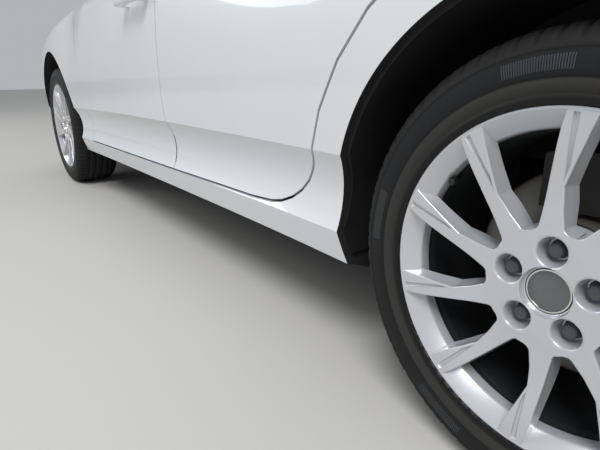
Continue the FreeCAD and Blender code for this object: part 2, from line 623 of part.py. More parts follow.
# A spoke's edges from above, as (distance out along it, distance ahead of its middle line)
LEADING_EDGE = ((84, 21.8), (140, 16.5), (190, 11.0), (236, 3.5))
TRAILING_EDGE = ((86, -11.0), (128, -3.6), (150, -7.2), (190, -19.5), (236, -33.0))


def on_spoke(degrees, out, ahead, y):
    """A point given along and across the spoke that stands at an angle from the top, at a height y."""
    a = math.radians(degrees)
    return V(out * math.sin(a) + ahead * math.cos(a), y, out * math.cos(a) - ahead * math.sin(a))


def window_wire(draft, y):
    """Window between two spokes, drawn in by the draft of its walls."""
    step = 360.0 / SPOKES
    lead = [on_spoke(0, s, o + draft * 0.6, y) for s, o in LEADING_EDGE]
    trail = [on_spoke(step, s, o - draft, y) for s, o in TRAILING_EDGE]
    foot = on_spoke(step * 0.56, FOOT_R + draft, 0, y)
    edges = [line(a, b) for a, b in zip(lead, lead[1:])]
    edges.append(line(lead[-1], trail[-1]))
    edges += [line(a, b) for a, b in zip(trail[:0:-1], trail[-2::-1])]
    edges.append(arc(trail[0], foot, lead[0]))
    return Part.Wire(edges)


def face_y(r):
    """Height of the spokes' face, level over the hub and rising to the tips."""
    return HUB_FACE_Y + max(0.0, r - 120) / (SPOKE_TIP_R - 120) * (TIP_FACE_Y - HUB_FACE_Y)


def make_rim():
    """Cast rim: ten swept spokes, each with a grooved tip, run from the hub out over a bevelled lip."""
    w = BARREL_WALL
    seat = BEAD_R - SEAT
    barrel = ring([
        (RIM_FLANGE_R, RIM_HALF - 1), (RIM_FLANGE_R, RIM_HALF - 6), (seat, RIM_HALF - 8 + SEAT),
        (seat, RIM_HALF - 36), (WELL_R + w, RIM_HALF - 56), (WELL_R + w, -RIM_HALF + 60), (seat, -RIM_HALF + 36),
        (seat, -RIM_HALF + 8 - SEAT), (RIM_FLANGE_R, -RIM_HALF + 6), (RIM_FLANGE_R, -RIM_HALF),
        (seat - w, -RIM_HALF), (seat - w, -RIM_HALF + 34), (WELL_R, -RIM_HALF + 58), (WELL_R, RIM_HALF - 54),
        (WELL_R, RIM_HALF - 47), (LIP_R, RIM_HALF - 30), (LIP_R, RIM_HALF - 18), (LIP_R + 4, RIM_HALF - 8),
        (LIP_R + 10, RIM_HALF - 3), (RIM_FLANGE_R - 4, RIM_HALF - 1), (RIM_FLANGE_R - 3, RIM_HALF),
        (RIM_FLANGE_R - 1, RIM_HALF),
    ], (0, 0, 0))
    star = ring([
        (0, CAP_FACE_Y), (CAP_R - 2, CAP_FACE_Y), (CAP_R, CAP_FACE_Y - 1.5), (CAP_R, CAP_FACE_Y - 4),
        (CAP_R + 3, CAP_FACE_Y - 4), (CAP_R + 7, HUB_FACE_Y), (120, HUB_FACE_Y), (SPOKE_TIP_R, TIP_FACE_Y),
        (SPOKE_TIP_R, RIM_HALF - 4), (BEAD_R + 1, RIM_HALF - 5), (BEAD_R - 2, RIM_HALF - 10),
        (LIP_R + 4, RIM_HALF - 26), (WELL_R + 3, RIM_HALF - 48), (150, 58), (95, 50), (78, HAT_Y), (HUB_BORE_R, HAT_Y),
        (HUB_BORE_R, 60), (0, 60),
    ], (0, 0, 0))
    window = Part.makeLoft([window_wire(7.0, 30), window_wire(-1.5, 115)], True, True)
    groove = Part.makePolygon([on_spoke(0, s, o, face_y(s) - GROOVE_DEPTH) for s, o in (
        (GROOVE_START, -3.0), (GROOVE_START + 16, -2.2), (GROOVE_END, -2.7), (GROOVE_END, -11.3),
        (GROOVE_START + 16, -7.3), (GROOVE_START, -3.0))])
    groove = Part.Face(groove).extrude(V(0, 12, 0))
    cuts = []
    for tool, count in ((window, SPOKES), (groove, SPOKES)):
        for i in range(count):
            copy = tool.copy()
            copy.rotate(V(0, 0, 0), V(0, 1, 0), 360.0 / count * i)
            cuts.append(copy)
    for i in range(BOLTS):
        base = on_spoke(360.0 / BOLTS * i, BOLT_CIRCLE_R, 0, POCKET_FLOOR_Y)
        cuts.append(Part.makeCone(POCKET_R, POCKET_MOUTH_R, HUB_FACE_Y - POCKET_FLOOR_Y, base, V(0, 1, 0)))
    return star.cut(cuts).fuse(barrel)


def make_wheel():
    """Left wheel at the origin of its own frame, y outwards from the rim's middle plane."""
    zero = (0, 0, 0)
    tyre = ring([
        (BEAD_R, RIM_HALF - 8), (BEAD_R + 16, RIM_HALF - 6), (BEAD_R + 45, TYRE_HALF - 2), (BEAD_R + 62, TYRE_HALF),
        (TYRE_R - 24, TYRE_HALF - 10), (TYRE_R - 8, TYRE_HALF - 20), (TYRE_R, TYRE_HALF - 36),
        (TYRE_R, -TYRE_HALF + 36), (TYRE_R - 8, -TYRE_HALF + 20), (TYRE_R - 24, -TYRE_HALF + 10),
        (BEAD_R + 62, -TYRE_HALF), (BEAD_R + 45, -TYRE_HALF + 2), (BEAD_R + 16, -RIM_HALF + 6),
        (BEAD_R, -RIM_HALF + 8), (BEAD_R, -RIM_HALF + 30), (BEAD_R + 50, -TYRE_HALF + 2 + TYRE_WALL),
        (TYRE_R - 26, -TYRE_HALF + 10 + TYRE_WALL), (TYRE_R - TYRE_WALL, -TYRE_HALF + 42),
        (TYRE_R - TYRE_WALL, TYRE_HALF - 42), (TYRE_R - 26, TYRE_HALF - 10 - TYRE_WALL),
        (BEAD_R + 50, TYRE_HALF - 2 - TYRE_WALL), (BEAD_R, RIM_HALF - 30),
    ], zero)
    rim = make_rim()
    back = -DISC_THICK - 2
    disc = ring([
        (HUB_BORE_R, -40), (55, -40), (55, 33), (76, 33), (76, back), (DISC_R, back), (DISC_R, -2), (84, -2),
        (84, HAT_Y - SEAT), (HUB_BORE_R, HAT_Y - SEAT),
    ], zero)
    return tyre, rim, disc


def make_wheels(node):
    """Four like wheels. A right one is a left one turned about, as its rim is the same casting."""
    tyre, rim, disc = make_wheel()
    for end, x in (("front", X_FRONT), ("rear", X_REAR)):
        for name, shape in (("tyre", tyre), ("rim", rim), ("brake_disc", disc)):
            left = shape.copy()
            left.translate(V(x, WHEEL_Y, TYRE_R))
            node[end + "_" + name + "_left"] = left
            right = shape.copy()
            right.rotate(V(0, 0, 0), V(0, 0, 1), 180)
            right.translate(V(x, -WHEEL_Y, TYRE_R))
            node[end + "_" + name + "_right"] = right


def caliper(x):
    """Brake caliper round the front of the disc, and the plate that joins it to the upright."""
    y = WHEEL_Y
    body = box(x - 60, x + 60, y - 62, y + 22, TYRE_R + 92, TYRE_R + 172)
    body = body.common(Part.makeCylinder(176, 90, V(x, y - 64, TYRE_R), V(0, 1, 0)))
    slot = Part.makeCylinder(DISC_R + 5, DISC_THICK + 10, V(x, y - 2 - DISC_THICK - 5, TYRE_R), V(0, 1, 0))
    return body.cut(slot)


def stub_and_upright(x):
    """Axle stub in the hub bore, and the upright behind the disc."""
    y = WHEEL_Y
    stub = rod((x, y - 60, TYRE_R), (x, y + 52, TYRE_R), HUB_BORE_R - STUB_FIT)
    flange = rod((x, y - 72, TYRE_R), (x, y - 46, TYRE_R), 62)
    shield = rod((x, y - 50, TYRE_R), (x, y - 47, TYRE_R), DISC_R + 4)
    shield = shield.cut(box(x - 200, x + 200, y - 60, y - 40, 0, KING_LOW[2] + 48))
    post = box(x - 30, x + 30, y - 76, y - 46, TYRE_R - 100, TYRE_R + 150)
    return stub.fuse([flange, shield, post, caliper(x)])


def make_running_gear(node):
    """Uprights that carry the wheels, and what carries the uprights."""
    x = X_FRONT
    low, top = V(*KING_LOW), V(*KING_TOP)
    up = (top - low).normalize()
    neck_end = low + up * 64
    neck = rod(tuple(low), tuple(neck_end), 9)
    ball = Part.makeSphere(BALL_R, low)
    strut = rod((x, KING_TOP[1] + 13, STRUT_FOOT_Z), (x, KING_TOP[1] + 3, 690), 24)
    strut_rod = rod((x, KING_TOP[1] + 3, 680), KING_TOP, 10)
    spring = rod((x, KING_TOP[1] + 3, 668), (x, KING_TOP[1] + 1, KING_TOP[2] - 62), 50)
    top_ball = Part.makeSphere(TOP_BALL_R, top)
    clamp = box(x - 30, x + 30, KING_TOP[1] - 14, WHEEL_Y - 50, STRUT_FOOT_Z, 420)
    arm = box(x - 150, x, WHEEL_Y - 90, WHEEL_Y - 60, TYRE_R - 40, TYRE_R - 16)
    knuckle = stub_and_upright(x).fuse([neck, ball, strut, strut_rod, spring, top_ball, clamp, arm])
    node["knuckle_left"] = biggest(knuckle)

    cross = box(x - 170, x + 170, -1, 330, FLOOR_Z + 2, FLOOR_Z + 60)
    low_arms = []
    for dx in (-120, 120):
        low_arms.append(rod((x + dx, 300, FLOOR_Z + 20), (x, KING_LOW[1] - 20, KING_LOW[2] - 2), 15))
    socket = rod((x, KING_LOW[1], KING_LOW[2] - 20), (x, KING_LOW[1], KING_LOW[2] + 16), 25)
    socket = socket.cut(Part.makeSphere(BALL_R + SEAT, low))
    throat = Part.makeCone(10, 26, 50, low, up)
    frame = cross.fuse(low_arms + [socket]).cut([Part.makeSphere(BALL_R + SEAT, low), throat])
    frame = frame.fuse([box(x - 170, x - 135, 325, RAIL_Y[1], FLOOR_Z + 2, 380),
                        box(x + 135, x + 170, 325, RAIL_Y[1], FLOOR_Z + 2, 380)])
    node["front_suspension"] = whole(biggest(frame))

    x = X_REAR
    cradle = box(x - 160, x + 160, 0, 380, 300, 350)
    mounts = box(x - 150, x + 150, 300, 380, 340, BOOT_FLOOR_Z - 12)
    arms = [
        rod((x - 120, 360, 318), (x, WHEEL_Y - 66, 226), 15),
        rod((x + 120, 360, 318), (x, WHEEL_Y - 66, 226), 15),
        rod((x, 360, 330), (x, WHEEL_Y - 66, 446), 13),
    ]
    damper = rod((x, 560, 285), (x, 560, BOOT_FLOOR_Z - 12), 26)
    half = stub_and_upright(x).fuse([cradle, mounts, damper] + arms)
    node["rear_suspension"] = biggest(half).fuse(mirror_y(biggest(half)))


def make_drive(node):
    low = box(ENGINE_X[0], ENGINE_X[1], -ENGINE_HALF, ENGINE_HALF, 320, 640)
    head = box(ENGINE_X[0] + 60, ENGINE_X[1] - 60, -210, 210, 640, 760)
    feet = box(X_FRONT + 60, X_FRONT + 160, -RAIL_Y[0], RAIL_Y[0], 400, 450)
    gearbox = prism_side([(ENGINE_X[0], GEARBOX_Z), (ENGINE_X[0], 600), (FIREWALL_X + 40, 470),
                          (FIREWALL_X + 40, GEARBOX_Z)], -120, 120)
    shafts = [rod((X_FRONT, 0, TYRE_R + 20), (X_FRONT, side * (WHEEL_Y - 120), TYRE_R + 2), 13) for side in (-1, 1)]
    node["engine"] = low.fuse([head, feet, gearbox] + shafts).removeSplitter()

    pipe_x = ENGINE_X[0] - PIPE_R - 3
    front = rod((pipe_x, 0, PIPE_Z), (SILENCER_X, 0, PIPE_Z), PIPE_R)
    down = rod((pipe_x, 0, PIPE_Z), (pipe_x, 0, GEARBOX_Z), PIPE_R)
    elbow = Part.makeSphere(PIPE_R, V(pipe_x, 0, PIPE_Z))
    silencer = rod((SILENCER_X, -480, PIPE_Z + 40), (SILENCER_X, 480, PIPE_Z + 40), SILENCER_R)
    hangers = [box(SILENCER_X - 15, SILENCER_X + 15, s * 300 - 12, s * 300 + 12, PIPE_Z + 40, BOOT_FLOOR_Z - 12)
               for s in (-1, 1)]
    tips = [rod((SILENCER_X, s * TAILPIPE_Y, PIPE_Z + 20), (-HALF_LENGTH + 10, s * TAILPIPE_Y, PIPE_Z + 20),
                TAILPIPE_R) for s in (-1, 1)]
    bores = [rod((SILENCER_X - 150, s * TAILPIPE_Y, PIPE_Z + 20), (-HALF_LENGTH, s * TAILPIPE_Y, PIPE_Z + 20),
                 TAILPIPE_R - 3) for s in (-1, 1)]
    node["exhaust"] = silencer.fuse([front, down, elbow] + tips + hangers).cut(bores).removeSplitter()


def make_cabin(node):
    """Dashboard with console and steering column, seats and rear bench."""
    front_x = FIREWALL_X
    dash = prism_side([(front_x, 600), (front_x, 876), (front_x - 140, 908), (front_x - 290, 880),
                       (front_x - 330, 800), (front_x - 270, 690), (front_x - 130, 600)], -DASH_HALF, DASH_HALF)
    console = prism_side([(front_x - 60, TUNNEL_Z), (front_x - 60, 700), (front_x - 280, 700), (front_x - 420, 560),
                          (front_x - 1050, 560), (front_x - 1050, TUNNEL_Z)], -105, 105)
    cx, cz = COLUMN_TOP
    lean = math.radians(COLUMN_LEAN)
    axis = V(-math.cos(lean), 0, math.sin(lean))
    hub = V(cx, COLUMN_Y, cz)
    column_end = hub - axis * 60
    column_base = hub - axis * 330
    column = rod(tuple(column_base), tuple(column_end), 38)
    bore = rod(tuple(hub - axis * 180), tuple(column_end + axis), COLUMN_R + STUB_FIT)
    hood = box(front_x - 300, front_x - 120, COLUMN_Y - 190, COLUMN_Y + 190, 850, 935)
    node["dashboard"] = dash.fuse([console, hood, column]).cut(bore).removeSplitter()

    grip = Part.makeTorus(WHEEL_GRIP_R, GRIP_R, hub, axis)
    boss = rod(tuple(hub - axis * 34), tuple(hub + axis * 8), 62)
    shaft = rod(tuple(hub - axis * 170), tuple(hub), COLUMN_R)
    spokes = []
    across = V(0, 1, 0)
    down = axis.cross(across)
    for way in (across, across * -1, down if down.z < 0 else down * -1):
        a = hub - axis * 4
        spokes.append(rod(tuple(a), tuple(a + way * WHEEL_GRIP_R), 11))
    node["steering_wheel"] = grip.fuse([boss, shaft] + spokes).removeSplitter()

    node["front_seat_left"] = seat(FRONT_DOOR_X - 1060, SEAT_Y, SEAT_WIDTH, FLOOR_Z + SEAT)
    bench = prism_side([
        (KICK_X + 0.5, FLOOR_Z + SEAM), (KICK_X + 330, FLOOR_Z + SEAM), (KICK_X + 400, 430), (KICK_X + 380, 500),
        (KICK_X + 60, 480), (KICK_X - 60, 900), (KICK_X - 130, 930), (KICK_X - 190, 880), (KICK_X + 0.5, 470),
    ], -620, 620)
    bench = bench.cut(box(KICK_X, FIREWALL_X, -TUNNEL_HALF - 1, TUNNEL_HALF + 1, 150, TUNNEL_Z + 1))
    node["rear_bench"] = bench


def seat(x, y, width, floor):
    """A seat whose cushion's back edge is at x: runners, cushion, backrest and head restraint."""
    y0, y1 = y - width / 2, y + width / 2
    runners = prism_side([(x + 30, floor), (x + 470, floor), (x + 450, floor + 130), (x + 50, floor + 130)],
                         y0 + 60, y1 - 60)
    cushion = prism_side([(x, floor + 110), (x + 500, floor + 130), (x + 520, floor + 230), (x + 460, floor + 262),
                          (x + 40, floor + 225), (x - 30, floor + 215)], y0, y1)
    back = prism_side([(x + 70, floor + 200), (x - 70, floor + 790), (x - 130, floor + 830), (x - 180, floor + 800),
                       (x - 60, floor + 180), (x - 20, floor + 150)], y0 + 10, y1 - 10)
    rest = box(x - 180, x - 90, y - 130, y + 130, floor + 850, floor + 1010)
    rest = rest.makeFillet(28, rest.Edges)
    posts = [rod((x - 140, y + s, floor + 780), (x - 140, y + s, floor + 900), 7) for s in (-60, 60)]
    return runners.fuse([cushion, back, rest] + posts).removeSplitter()


def make_parts():
    node = {}
    make_body(node)
    make_wheels(node)
    make_running_gear(node)
    make_drive(node)
    make_cabin(node)
    for name in [n for n in node if n.endswith("_left")]:
        right_name = name[:-5] + "_right"
        if right_name not in node:
            node[right_name] = mirror_y(node[name])
    return node


os.makedirs("parts", exist_ok=True)
for name, shape in make_parts().items():
    shape.exportStep("parts/" + name + ".step")
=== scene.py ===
import json
import math

import bmesh
import bpy
import numpy as np
from mathutils import Matrix, Vector
from mathutils.bvhtree import BVHTree


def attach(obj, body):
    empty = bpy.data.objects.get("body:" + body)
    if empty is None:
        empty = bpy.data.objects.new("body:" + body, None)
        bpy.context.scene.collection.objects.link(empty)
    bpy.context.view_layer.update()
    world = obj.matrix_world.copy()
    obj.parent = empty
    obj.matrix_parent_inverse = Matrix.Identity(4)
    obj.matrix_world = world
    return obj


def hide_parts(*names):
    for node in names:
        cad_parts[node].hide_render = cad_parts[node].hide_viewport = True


# Four-door saloon car. Metres; +X forward, +Y the car's left, +Z up, the ground at z = 0.
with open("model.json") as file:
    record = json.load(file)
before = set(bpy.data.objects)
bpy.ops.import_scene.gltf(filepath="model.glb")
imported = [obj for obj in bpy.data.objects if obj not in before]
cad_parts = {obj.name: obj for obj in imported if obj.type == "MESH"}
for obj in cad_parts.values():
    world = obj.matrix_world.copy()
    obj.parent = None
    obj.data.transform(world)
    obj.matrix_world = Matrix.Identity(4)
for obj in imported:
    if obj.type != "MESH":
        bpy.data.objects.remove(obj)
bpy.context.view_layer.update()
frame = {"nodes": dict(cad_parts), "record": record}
nodes = frame["nodes"]

# Camera
# Low behind the left rear wheel, looking forward along the side, as the photograph does.
IMAGE_WIDTH = 600
FOCAL_PIXELS = 470.65
CAMERA_AT = (-1.581, 1.449, 0.594)
CAMERA_YAW = math.radians(-36.684)
CAMERA_PITCH = math.radians(17.553)
CAMERA_ROLL = math.radians(-0.490)


def aim(yaw, down, roll):
    """Camera turn as a matrix: forward along yaw, tipped down, then rolled about the line of sight."""
    forward = Vector((math.cos(down) * math.cos(yaw), math.cos(down) * math.sin(yaw), -math.sin(down)))
    right = forward.cross(Vector((0, 0, 1))).normalized()
    up = right.cross(forward)
    tilted_right = math.cos(roll) * right + math.sin(roll) * up
    tilted_up = math.cos(roll) * up - math.sin(roll) * right
    return Matrix((tilted_right, tilted_up, -forward)).transposed().to_4x4()


camera_data = bpy.data.cameras.new("camera")
camera_data.sensor_width = 36.0
camera_data.lens = FOCAL_PIXELS / IMAGE_WIDTH * camera_data.sensor_width
camera_data.clip_start = 0.02
camera = bpy.data.objects.new("camera", camera_data)
camera.matrix_world = Matrix.Translation(CAMERA_AT) @ aim(CAMERA_YAW, CAMERA_PITCH, CAMERA_ROLL)
bpy.context.collection.objects.link(camera)
bpy.context.scene.camera = camera


# Body panels
# Pressed steel shells, bolted or welded, in white enamel under clear lacquer. Black sealer covers the wheel arches
# and the sills' undersides; the doors and posts have dark trim inside, and the roof a grey cloth lining.
def linear(code):
    """An sRGB hex colour as linear numbers: the sRGB curve undone channel by channel."""
    c = np.array([int(code[i:i + 2], 16) for i in (1, 3, 5)]) / 255
    return (*np.where(c <= 0.04045, c / 12.92, ((c + 0.055) / 1.055) ** 2.4), 1.0)


def put(node, **settings):
    """Sets a node's properties, or its inputs by name, each to a value or linked to a socket."""
    for key, value in settings.items():
        if hasattr(node, key):
            setattr(node, key, value)
        elif isinstance(value, bpy.types.NodeSocket):
            node.id_data.links.new(value, node.inputs[key.replace("_", " ")])
        else:
            node.inputs[key.replace("_", " ")].default_value = value
    return node


def add(material, kind, **settings):
    """A new node in a material's tree."""
    return put(material.node_tree.nodes.new("ShaderNode" + kind), **settings)


def shade(material, **settings):
    """Sets the inputs of a material's shader."""
    put(material.node_tree.nodes["Principled BSDF"], **settings)
    return material


def maths(kind, *values):
    """One arithmetic step on sockets and numbers."""
    tree = next(v.id_data for v in values if isinstance(v, bpy.types.NodeSocket))
    node = put(tree.nodes.new("ShaderNodeMath"), operation=kind)
    for entry, value in zip(node.inputs, values):
        if isinstance(value, bpy.types.NodeSocket):
            tree.links.new(value, entry)
        else:
            entry.default_value = value
    return node.outputs[0]


def scaled(socket, times, plus=0.0):
    """A socket times a number plus a number."""
    return maths("MULTIPLY_ADD", socket, times, plus)


def less(a, b):
    """On where the first is less."""
    return maths("LESS_THAN", a, b)


def near(socket, middle, half):
    """On within half a width of a value."""
    return less(maths("ABSOLUTE", scaled(socket, 1.0, -middle)), half)


def both(a, b):
    """On where two masks are."""
    return maths("MULTIPLY", a, b)


def new_material(name, colour, rough, metallic=0.0, **settings):
    """A material with one colour; settings are more of the shader's inputs."""
    material = bpy.data.materials.new(name)
    material.use_nodes = True
    return shade(material, Base_Color=linear(colour), Roughness=rough, Metallic=metallic, **settings)


def mottle(material, light, dark, scale, rough, bump=0.0, bump_scale=400.0):
    """Colour and roughness that vary softly over the surface, with an optional fine bump."""
    place = add(material, "TexCoord").outputs["Object"]
    noise = add(material, "TexNoise", Scale=scale, Detail=5.0, Vector=place).outputs["Fac"]
    mix = add(material, "Mix", data_type="RGBA", A=linear(dark), B=linear(light), Factor=noise)
    spread = add(material, "MapRange", To_Min=rough[0], To_Max=rough[1], Value=noise)
    shade(material, Base_Color=mix.outputs["Result"], Roughness=spread.outputs["Result"])
    if bump:
        bumped(material, add(material, "TexNoise", Scale=bump_scale, Detail=3.0, Vector=place).outputs["Fac"], bump)
    return material


def bumped(material, height, strength):
    """Raises the surface up to 1 mm by a height socket, in shading only."""
    return shade(material, Normal=add(material, "Bump", Strength=strength, Distance=0.001, Height=height).outputs[0])


def masked(material, inside, masks, rough=0.85):
    """Gives a material a second colour and roughness, and no lacquer, wherever one of the masks (0 to 1) is on."""
    shader = material.node_tree.nodes["Principled BSDF"]
    mask = masks[0]
    for other in masks[1:]:
        mask = maths("MAXIMUM", mask, other)
    for name, kind, value in (("Base Color", "RGBA", linear(inside)), ("Roughness", "FLOAT", rough)):
        before = shader.inputs[name].links[0].from_socket
        mix = add(material, "Mix", data_type=kind, A=before, B=value, Factor=mask)
        material.node_tree.links.new(mix.outputs["Result"], shader.inputs[name])
    return shade(material, Coat_Weight=maths("SUBTRACT", 1.0, mask))


def axes(material, kind="Object"):
    """Object coordinates, or with "Normal" the way the surface faces, as x, y and z."""
    return tuple(add(material, "SeparateXYZ", Vector=add(material, "TexCoord").outputs[kind]).outputs)


def mirrored(material):
    """Object coordinates with y made positive, so that left and right match."""
    x, y, z = axes(material)
    return x, maths("ABSOLUTE", y), z


def facing_in(material, skin_y):
    """On where a surface faces the car's middle plane and lies inboard of its skin."""
    outward = maths("MULTIPLY", axes(material, "Normal")[1], maths("SIGN", axes(material)[1]))
    return both(less(outward, -0.12), less(mirrored(material)[1], skin_y))


def pillar_inside(material):
    """On where the post between the doors stands: near its x, and inboard of a line that leans in over the belt."""
    x, y, z = mirrored(material)
    limit = scaled(maths("MAXIMUM", scaled(z, 1.0, -0.85), 0.0), -0.405, 0.7665)
    return both(near(x, -0.122, 0.047), less(y, limit))


def inside_arch(material, wheel_x, radius, skin_y):
    """On inside a wheel's arch: nearer its axle than a radius, and inboard of the skin."""
    x, y, z = mirrored(material)
    away = [maths("POWER", maths("ABSOLUTE", scaled(s, 1.0, -at)), 2.0) for s, at in ((x, wheel_x), (z, WHEEL_Z))]
    inside = less(maths("SQRT", maths("ADD", *away)), radius)
    return both(inside, less(y, skin_y))


def under(material, height):
    """On below a height."""
    return less(axes(material)[2], height)


def behind(material, limit_x, height):
    """On at the tail, below a height."""
    return both(under(material, height), less(axes(material)[0], limit_x))


def flap_line(material):
    """On along the gap round the fuel flap, on the car's right: a line where |u|^4 + |w|^4 is near 1."""
    x, y, z = axes(material)
    u, w = (maths("POWER", maths("ABSOLUTE", scaled(s, 13.0, plus)), 4.0) for s, plus in ((x, 21.06), (z, -11.05)))
    return both(near(maths("ADD", u, w), 1.0, 0.1), less(y, -0.5))


def coat(material, *names):
    """Gives CAD pieces a material in place of their own."""
    for name in names:
        mesh = nodes[name].data
        mesh.materials.clear()
        mesh.materials.append(material)


def coat_all(material, slot):
    """Coats every CAD piece whose record names a slot."""
    coat(material, *[entry["node"] for entry in frame["record"]["subparts"] if entry["material_slot"] == slot])


def white_paint(name):
    """Even gloss white: what shows is the lacquer's reflections over a barely mottled ground."""
    return mottle(new_material(name, "#dfe3e6", 0.3, Coat_Weight=1.0, Coat_Roughness=0.03),
                  "#e2e5e9", "#d8dce1", 3.0, (0.26, 0.32))


WHEEL_Z = 0.3265
FRONT_X, REAR_X = 1.479, -1.329
FRONT_ARCH_R, REAR_ARCH_R = 0.4085, 0.3945
REAR_TUB_R, REAR_TUB_Y = 0.3992, 0.807
PAST_THE_SKIN_Y = 0.95
TRIM_Y = 0.86
SILL_FOOT_Z = 0.236
BUMPER_FOOT_Z = 0.2
VALANCE_X, VALANCE_Z = -2.2, 0.322
FACING_DOWN = -0.2
SEALER = "#151516"

paint = white_paint("white_paint")
coat_all(paint, "body_paint")
coat_all(paint, "mirror_paint")
frame_paint = white_paint("frame_paint")
masked(frame_paint, SEALER, [facing_in(frame_paint, TRIM_Y), pillar_inside(frame_paint),
                             inside_arch(frame_paint, REAR_X, REAR_TUB_R, REAR_TUB_Y),
                             inside_arch(frame_paint, REAR_X, REAR_ARCH_R, PAST_THE_SKIN_Y),
                             under(frame_paint, SILL_FOOT_Z), flap_line(frame_paint)])
coat(frame_paint, "side_frame_left", "side_frame_right")
door_paint = white_paint("door_paint")
masked(door_paint, "#242427", [facing_in(door_paint, TRIM_Y)])
coat(door_paint, "front_door_left", "front_door_right", "rear_door_left", "rear_door_right")
panel_paint = white_paint("panel_paint")
masked(panel_paint, SEALER, [inside_arch(panel_paint, FRONT_X, FRONT_ARCH_R, PAST_THE_SKIN_Y),
                             inside_arch(panel_paint, REAR_X, REAR_ARCH_R, PAST_THE_SKIN_Y),
                             under(panel_paint, BUMPER_FOOT_Z), behind(panel_paint, VALANCE_X, VALANCE_Z)])
coat(panel_paint, "front_wing_left", "front_wing_right", "front_bumper", "rear_bumper")
roof_paint = white_paint("roof_paint")
masked(roof_paint, "#8b8a85", [less(axes(roof_paint, "Normal")[2], FACING_DOWN)], 0.95)
coat(roof_paint, "roof_panel")

# Arch liners and grille
# Moulded polypropylene, left in its dull black; the grille's brow over the slats is painted with the body.
SLATS_TOP_Z = 0.652
plastic = mottle(new_material("black_plastic", "#161616", 0.6), "#1b1b1c", "#111112", 20.0, (0.5, 0.65), 0.15, 900.0)
coat_all(plastic, "black_plastic")
grille_paint = white_paint("grille_paint")
masked(grille_paint, SEALER, [under(grille_paint, SLATS_TOP_Z)], 0.6)
coat(grille_paint, "grille")

# Floor, suspension, engine and exhaust
# Floor and front frame in sprayed underbody coat, arms and uprights in painted cast steel, the engine in sand-cast
# alloy, the exhaust in stainless tube browned by heat.
underbody = mottle(new_material("underbody_coat", "#141414", 0.8), "#191919", "#0f0f10", 9.0, (0.7, 0.9), 0.4)
steel = mottle(new_material("cast_steel", "#3a3938", 0.6, 0.5), "#474543", "#2b2928", 18.0, (0.5, 0.75), 0.3)
block = mottle(new_material("cast_alloy", "#77777a", 0.5, 0.8), "#838386", "#5f5f62", 15.0, (0.4, 0.6), 0.4)
stainless = mottle(new_material("exhaust_steel", "#8d8982", 0.35, 0.95), "#9d9890", "#6d675e", 12.0, (0.25, 0.5))
coat_all(underbody, "underbody_coat")
coat_all(steel, "steel")
coat_all(block, "engine_alloy")
coat_all(stainless, "exhaust_steel")

# Glass and lamp covers
# Green-tinted safety glass in the screens and doors, clear covers over the headlamps, and red moulded tail lamps
# ribbed inside, with a pale band for the reversing lamp.
REVERSING_Z, REVERSING_HALF, REVERSING_Y = 0.786, 0.013, 0.80
RIB_TURNS = 1050.0
LINE_TURNS = 314.0
pane = new_material("tinted_glass", "#8fa39b", 0.02, Transmission_Weight=0.9, IOR=1.45)
clear = new_material("lamp_cover", "#dfe6ea", 0.03, Transmission_Weight=0.8, IOR=1.45)
red = mottle(new_material("lamp_red", "#8d0b10", 0.08, Coat_Weight=1.0), "#9c0d12", "#7d080d", 30.0, (0.06, 0.12))
x, y, z = mirrored(red)
masked(red, "#4d0407", [maths("GREATER_THAN", maths("SINE", scaled(z, LINE_TURNS)), 0.93)], 0.1)
masked(red, "#dcd8d6", [both(near(z, REVERSING_Z, REVERSING_HALF), less(y, REVERSING_Y))], 0.1)
bumped(red, maths("SINE", scaled(y, RIB_TURNS)), 0.25)
coat_all(pane, "glass_tint")
coat_all(clear, "lamp_clear")
coat_all(red, "lamp_red")

# Dashboard and steering wheel
# Foam-backed plastic skins with a fine grain, clipped to steel carriers.
cabin = mottle(new_material("cabin_plastic", "#232326", 0.65), "#2a2a2d", "#1c1c1f", 25.0, (0.55, 0.75), 0.3, 1200.0)
coat_all(cabin, "cabin_plastic")


# Wheels
# Cast alloy in silver lacquer: a star of ten spokes that run from a broad hub out over a bevelled lip, with a
# groove in each spoke's tip, five bolt pockets and a domed cap. Millimetres from the wheel's middle, y outwards.
def from_axle(material, wheel_x):
    """Distance from a wheel's axle, and the angle round it, worked out from Object coordinates."""
    x, y, z = mirrored(material)
    dx, dz = scaled(x, 1.0, -wheel_x), scaled(z, 1.0, -WHEEL_Z)
    square = maths("ADD", maths("MULTIPLY", dx, dx), maths("MULTIPLY", dz, dz))
    return maths("SQRT", square), maths("ARCTAN2", dx, dz)


# Where the barrel's painted shade starts: farther from the axle than this radius, and inboard of this y.
BARREL_SHADE_R, BARREL_SHADE_Y = 0.186, 0.840


def wheel_paint_barrel_shade(name, wheel_x):
    """Silver lacquer, with painted shade: near black inside the barrel, behind the lip."""
    material = mottle(new_material(name, "#c6c9ce", 0.33, 0.35, Coat_Weight=0.8, Coat_Roughness=0.1),
                      "#cdd0d5", "#bcbfc5", 8.0, (0.28, 0.36))
    radius, turn = from_axle(material, wheel_x)
    # Painted shade: the barrel's inside, behind the lip, is coloured near black for the shade deep in the wheel.
    inside = maths("GREATER_THAN", radius, BARREL_SHADE_R)
    return masked(material, "#1f2023", [both(inside, less(mirrored(material)[1], BARREL_SHADE_Y))])


def grid_faces(rows, columns, wrap=False, loop=False):
    """Quads of a grid of rows by columns, joined past the last column where it wraps and past the last row where
    it loops."""
    r = np.arange(rows if loop else rows - 1)[:, None]
    c = np.arange(columns if wrap else columns - 1)[None, :]
    after = (r + 1) % rows
    beside = (c + 1) % columns
    corners = [r * columns + c, r * columns + beside, after * columns + beside, after * columns + c]
    return np.stack(corners, axis=-1).reshape(-1, 4)


def join(*parts):
    """Several (points, faces) surfaces as one."""
    points, faces, start = [], [], 0
    for p, f in parts:
        points.append(p.reshape(-1, 3))
        faces.append(f + start)
        start += len(points[-1])
    return np.concatenate(points), np.concatenate(faces)


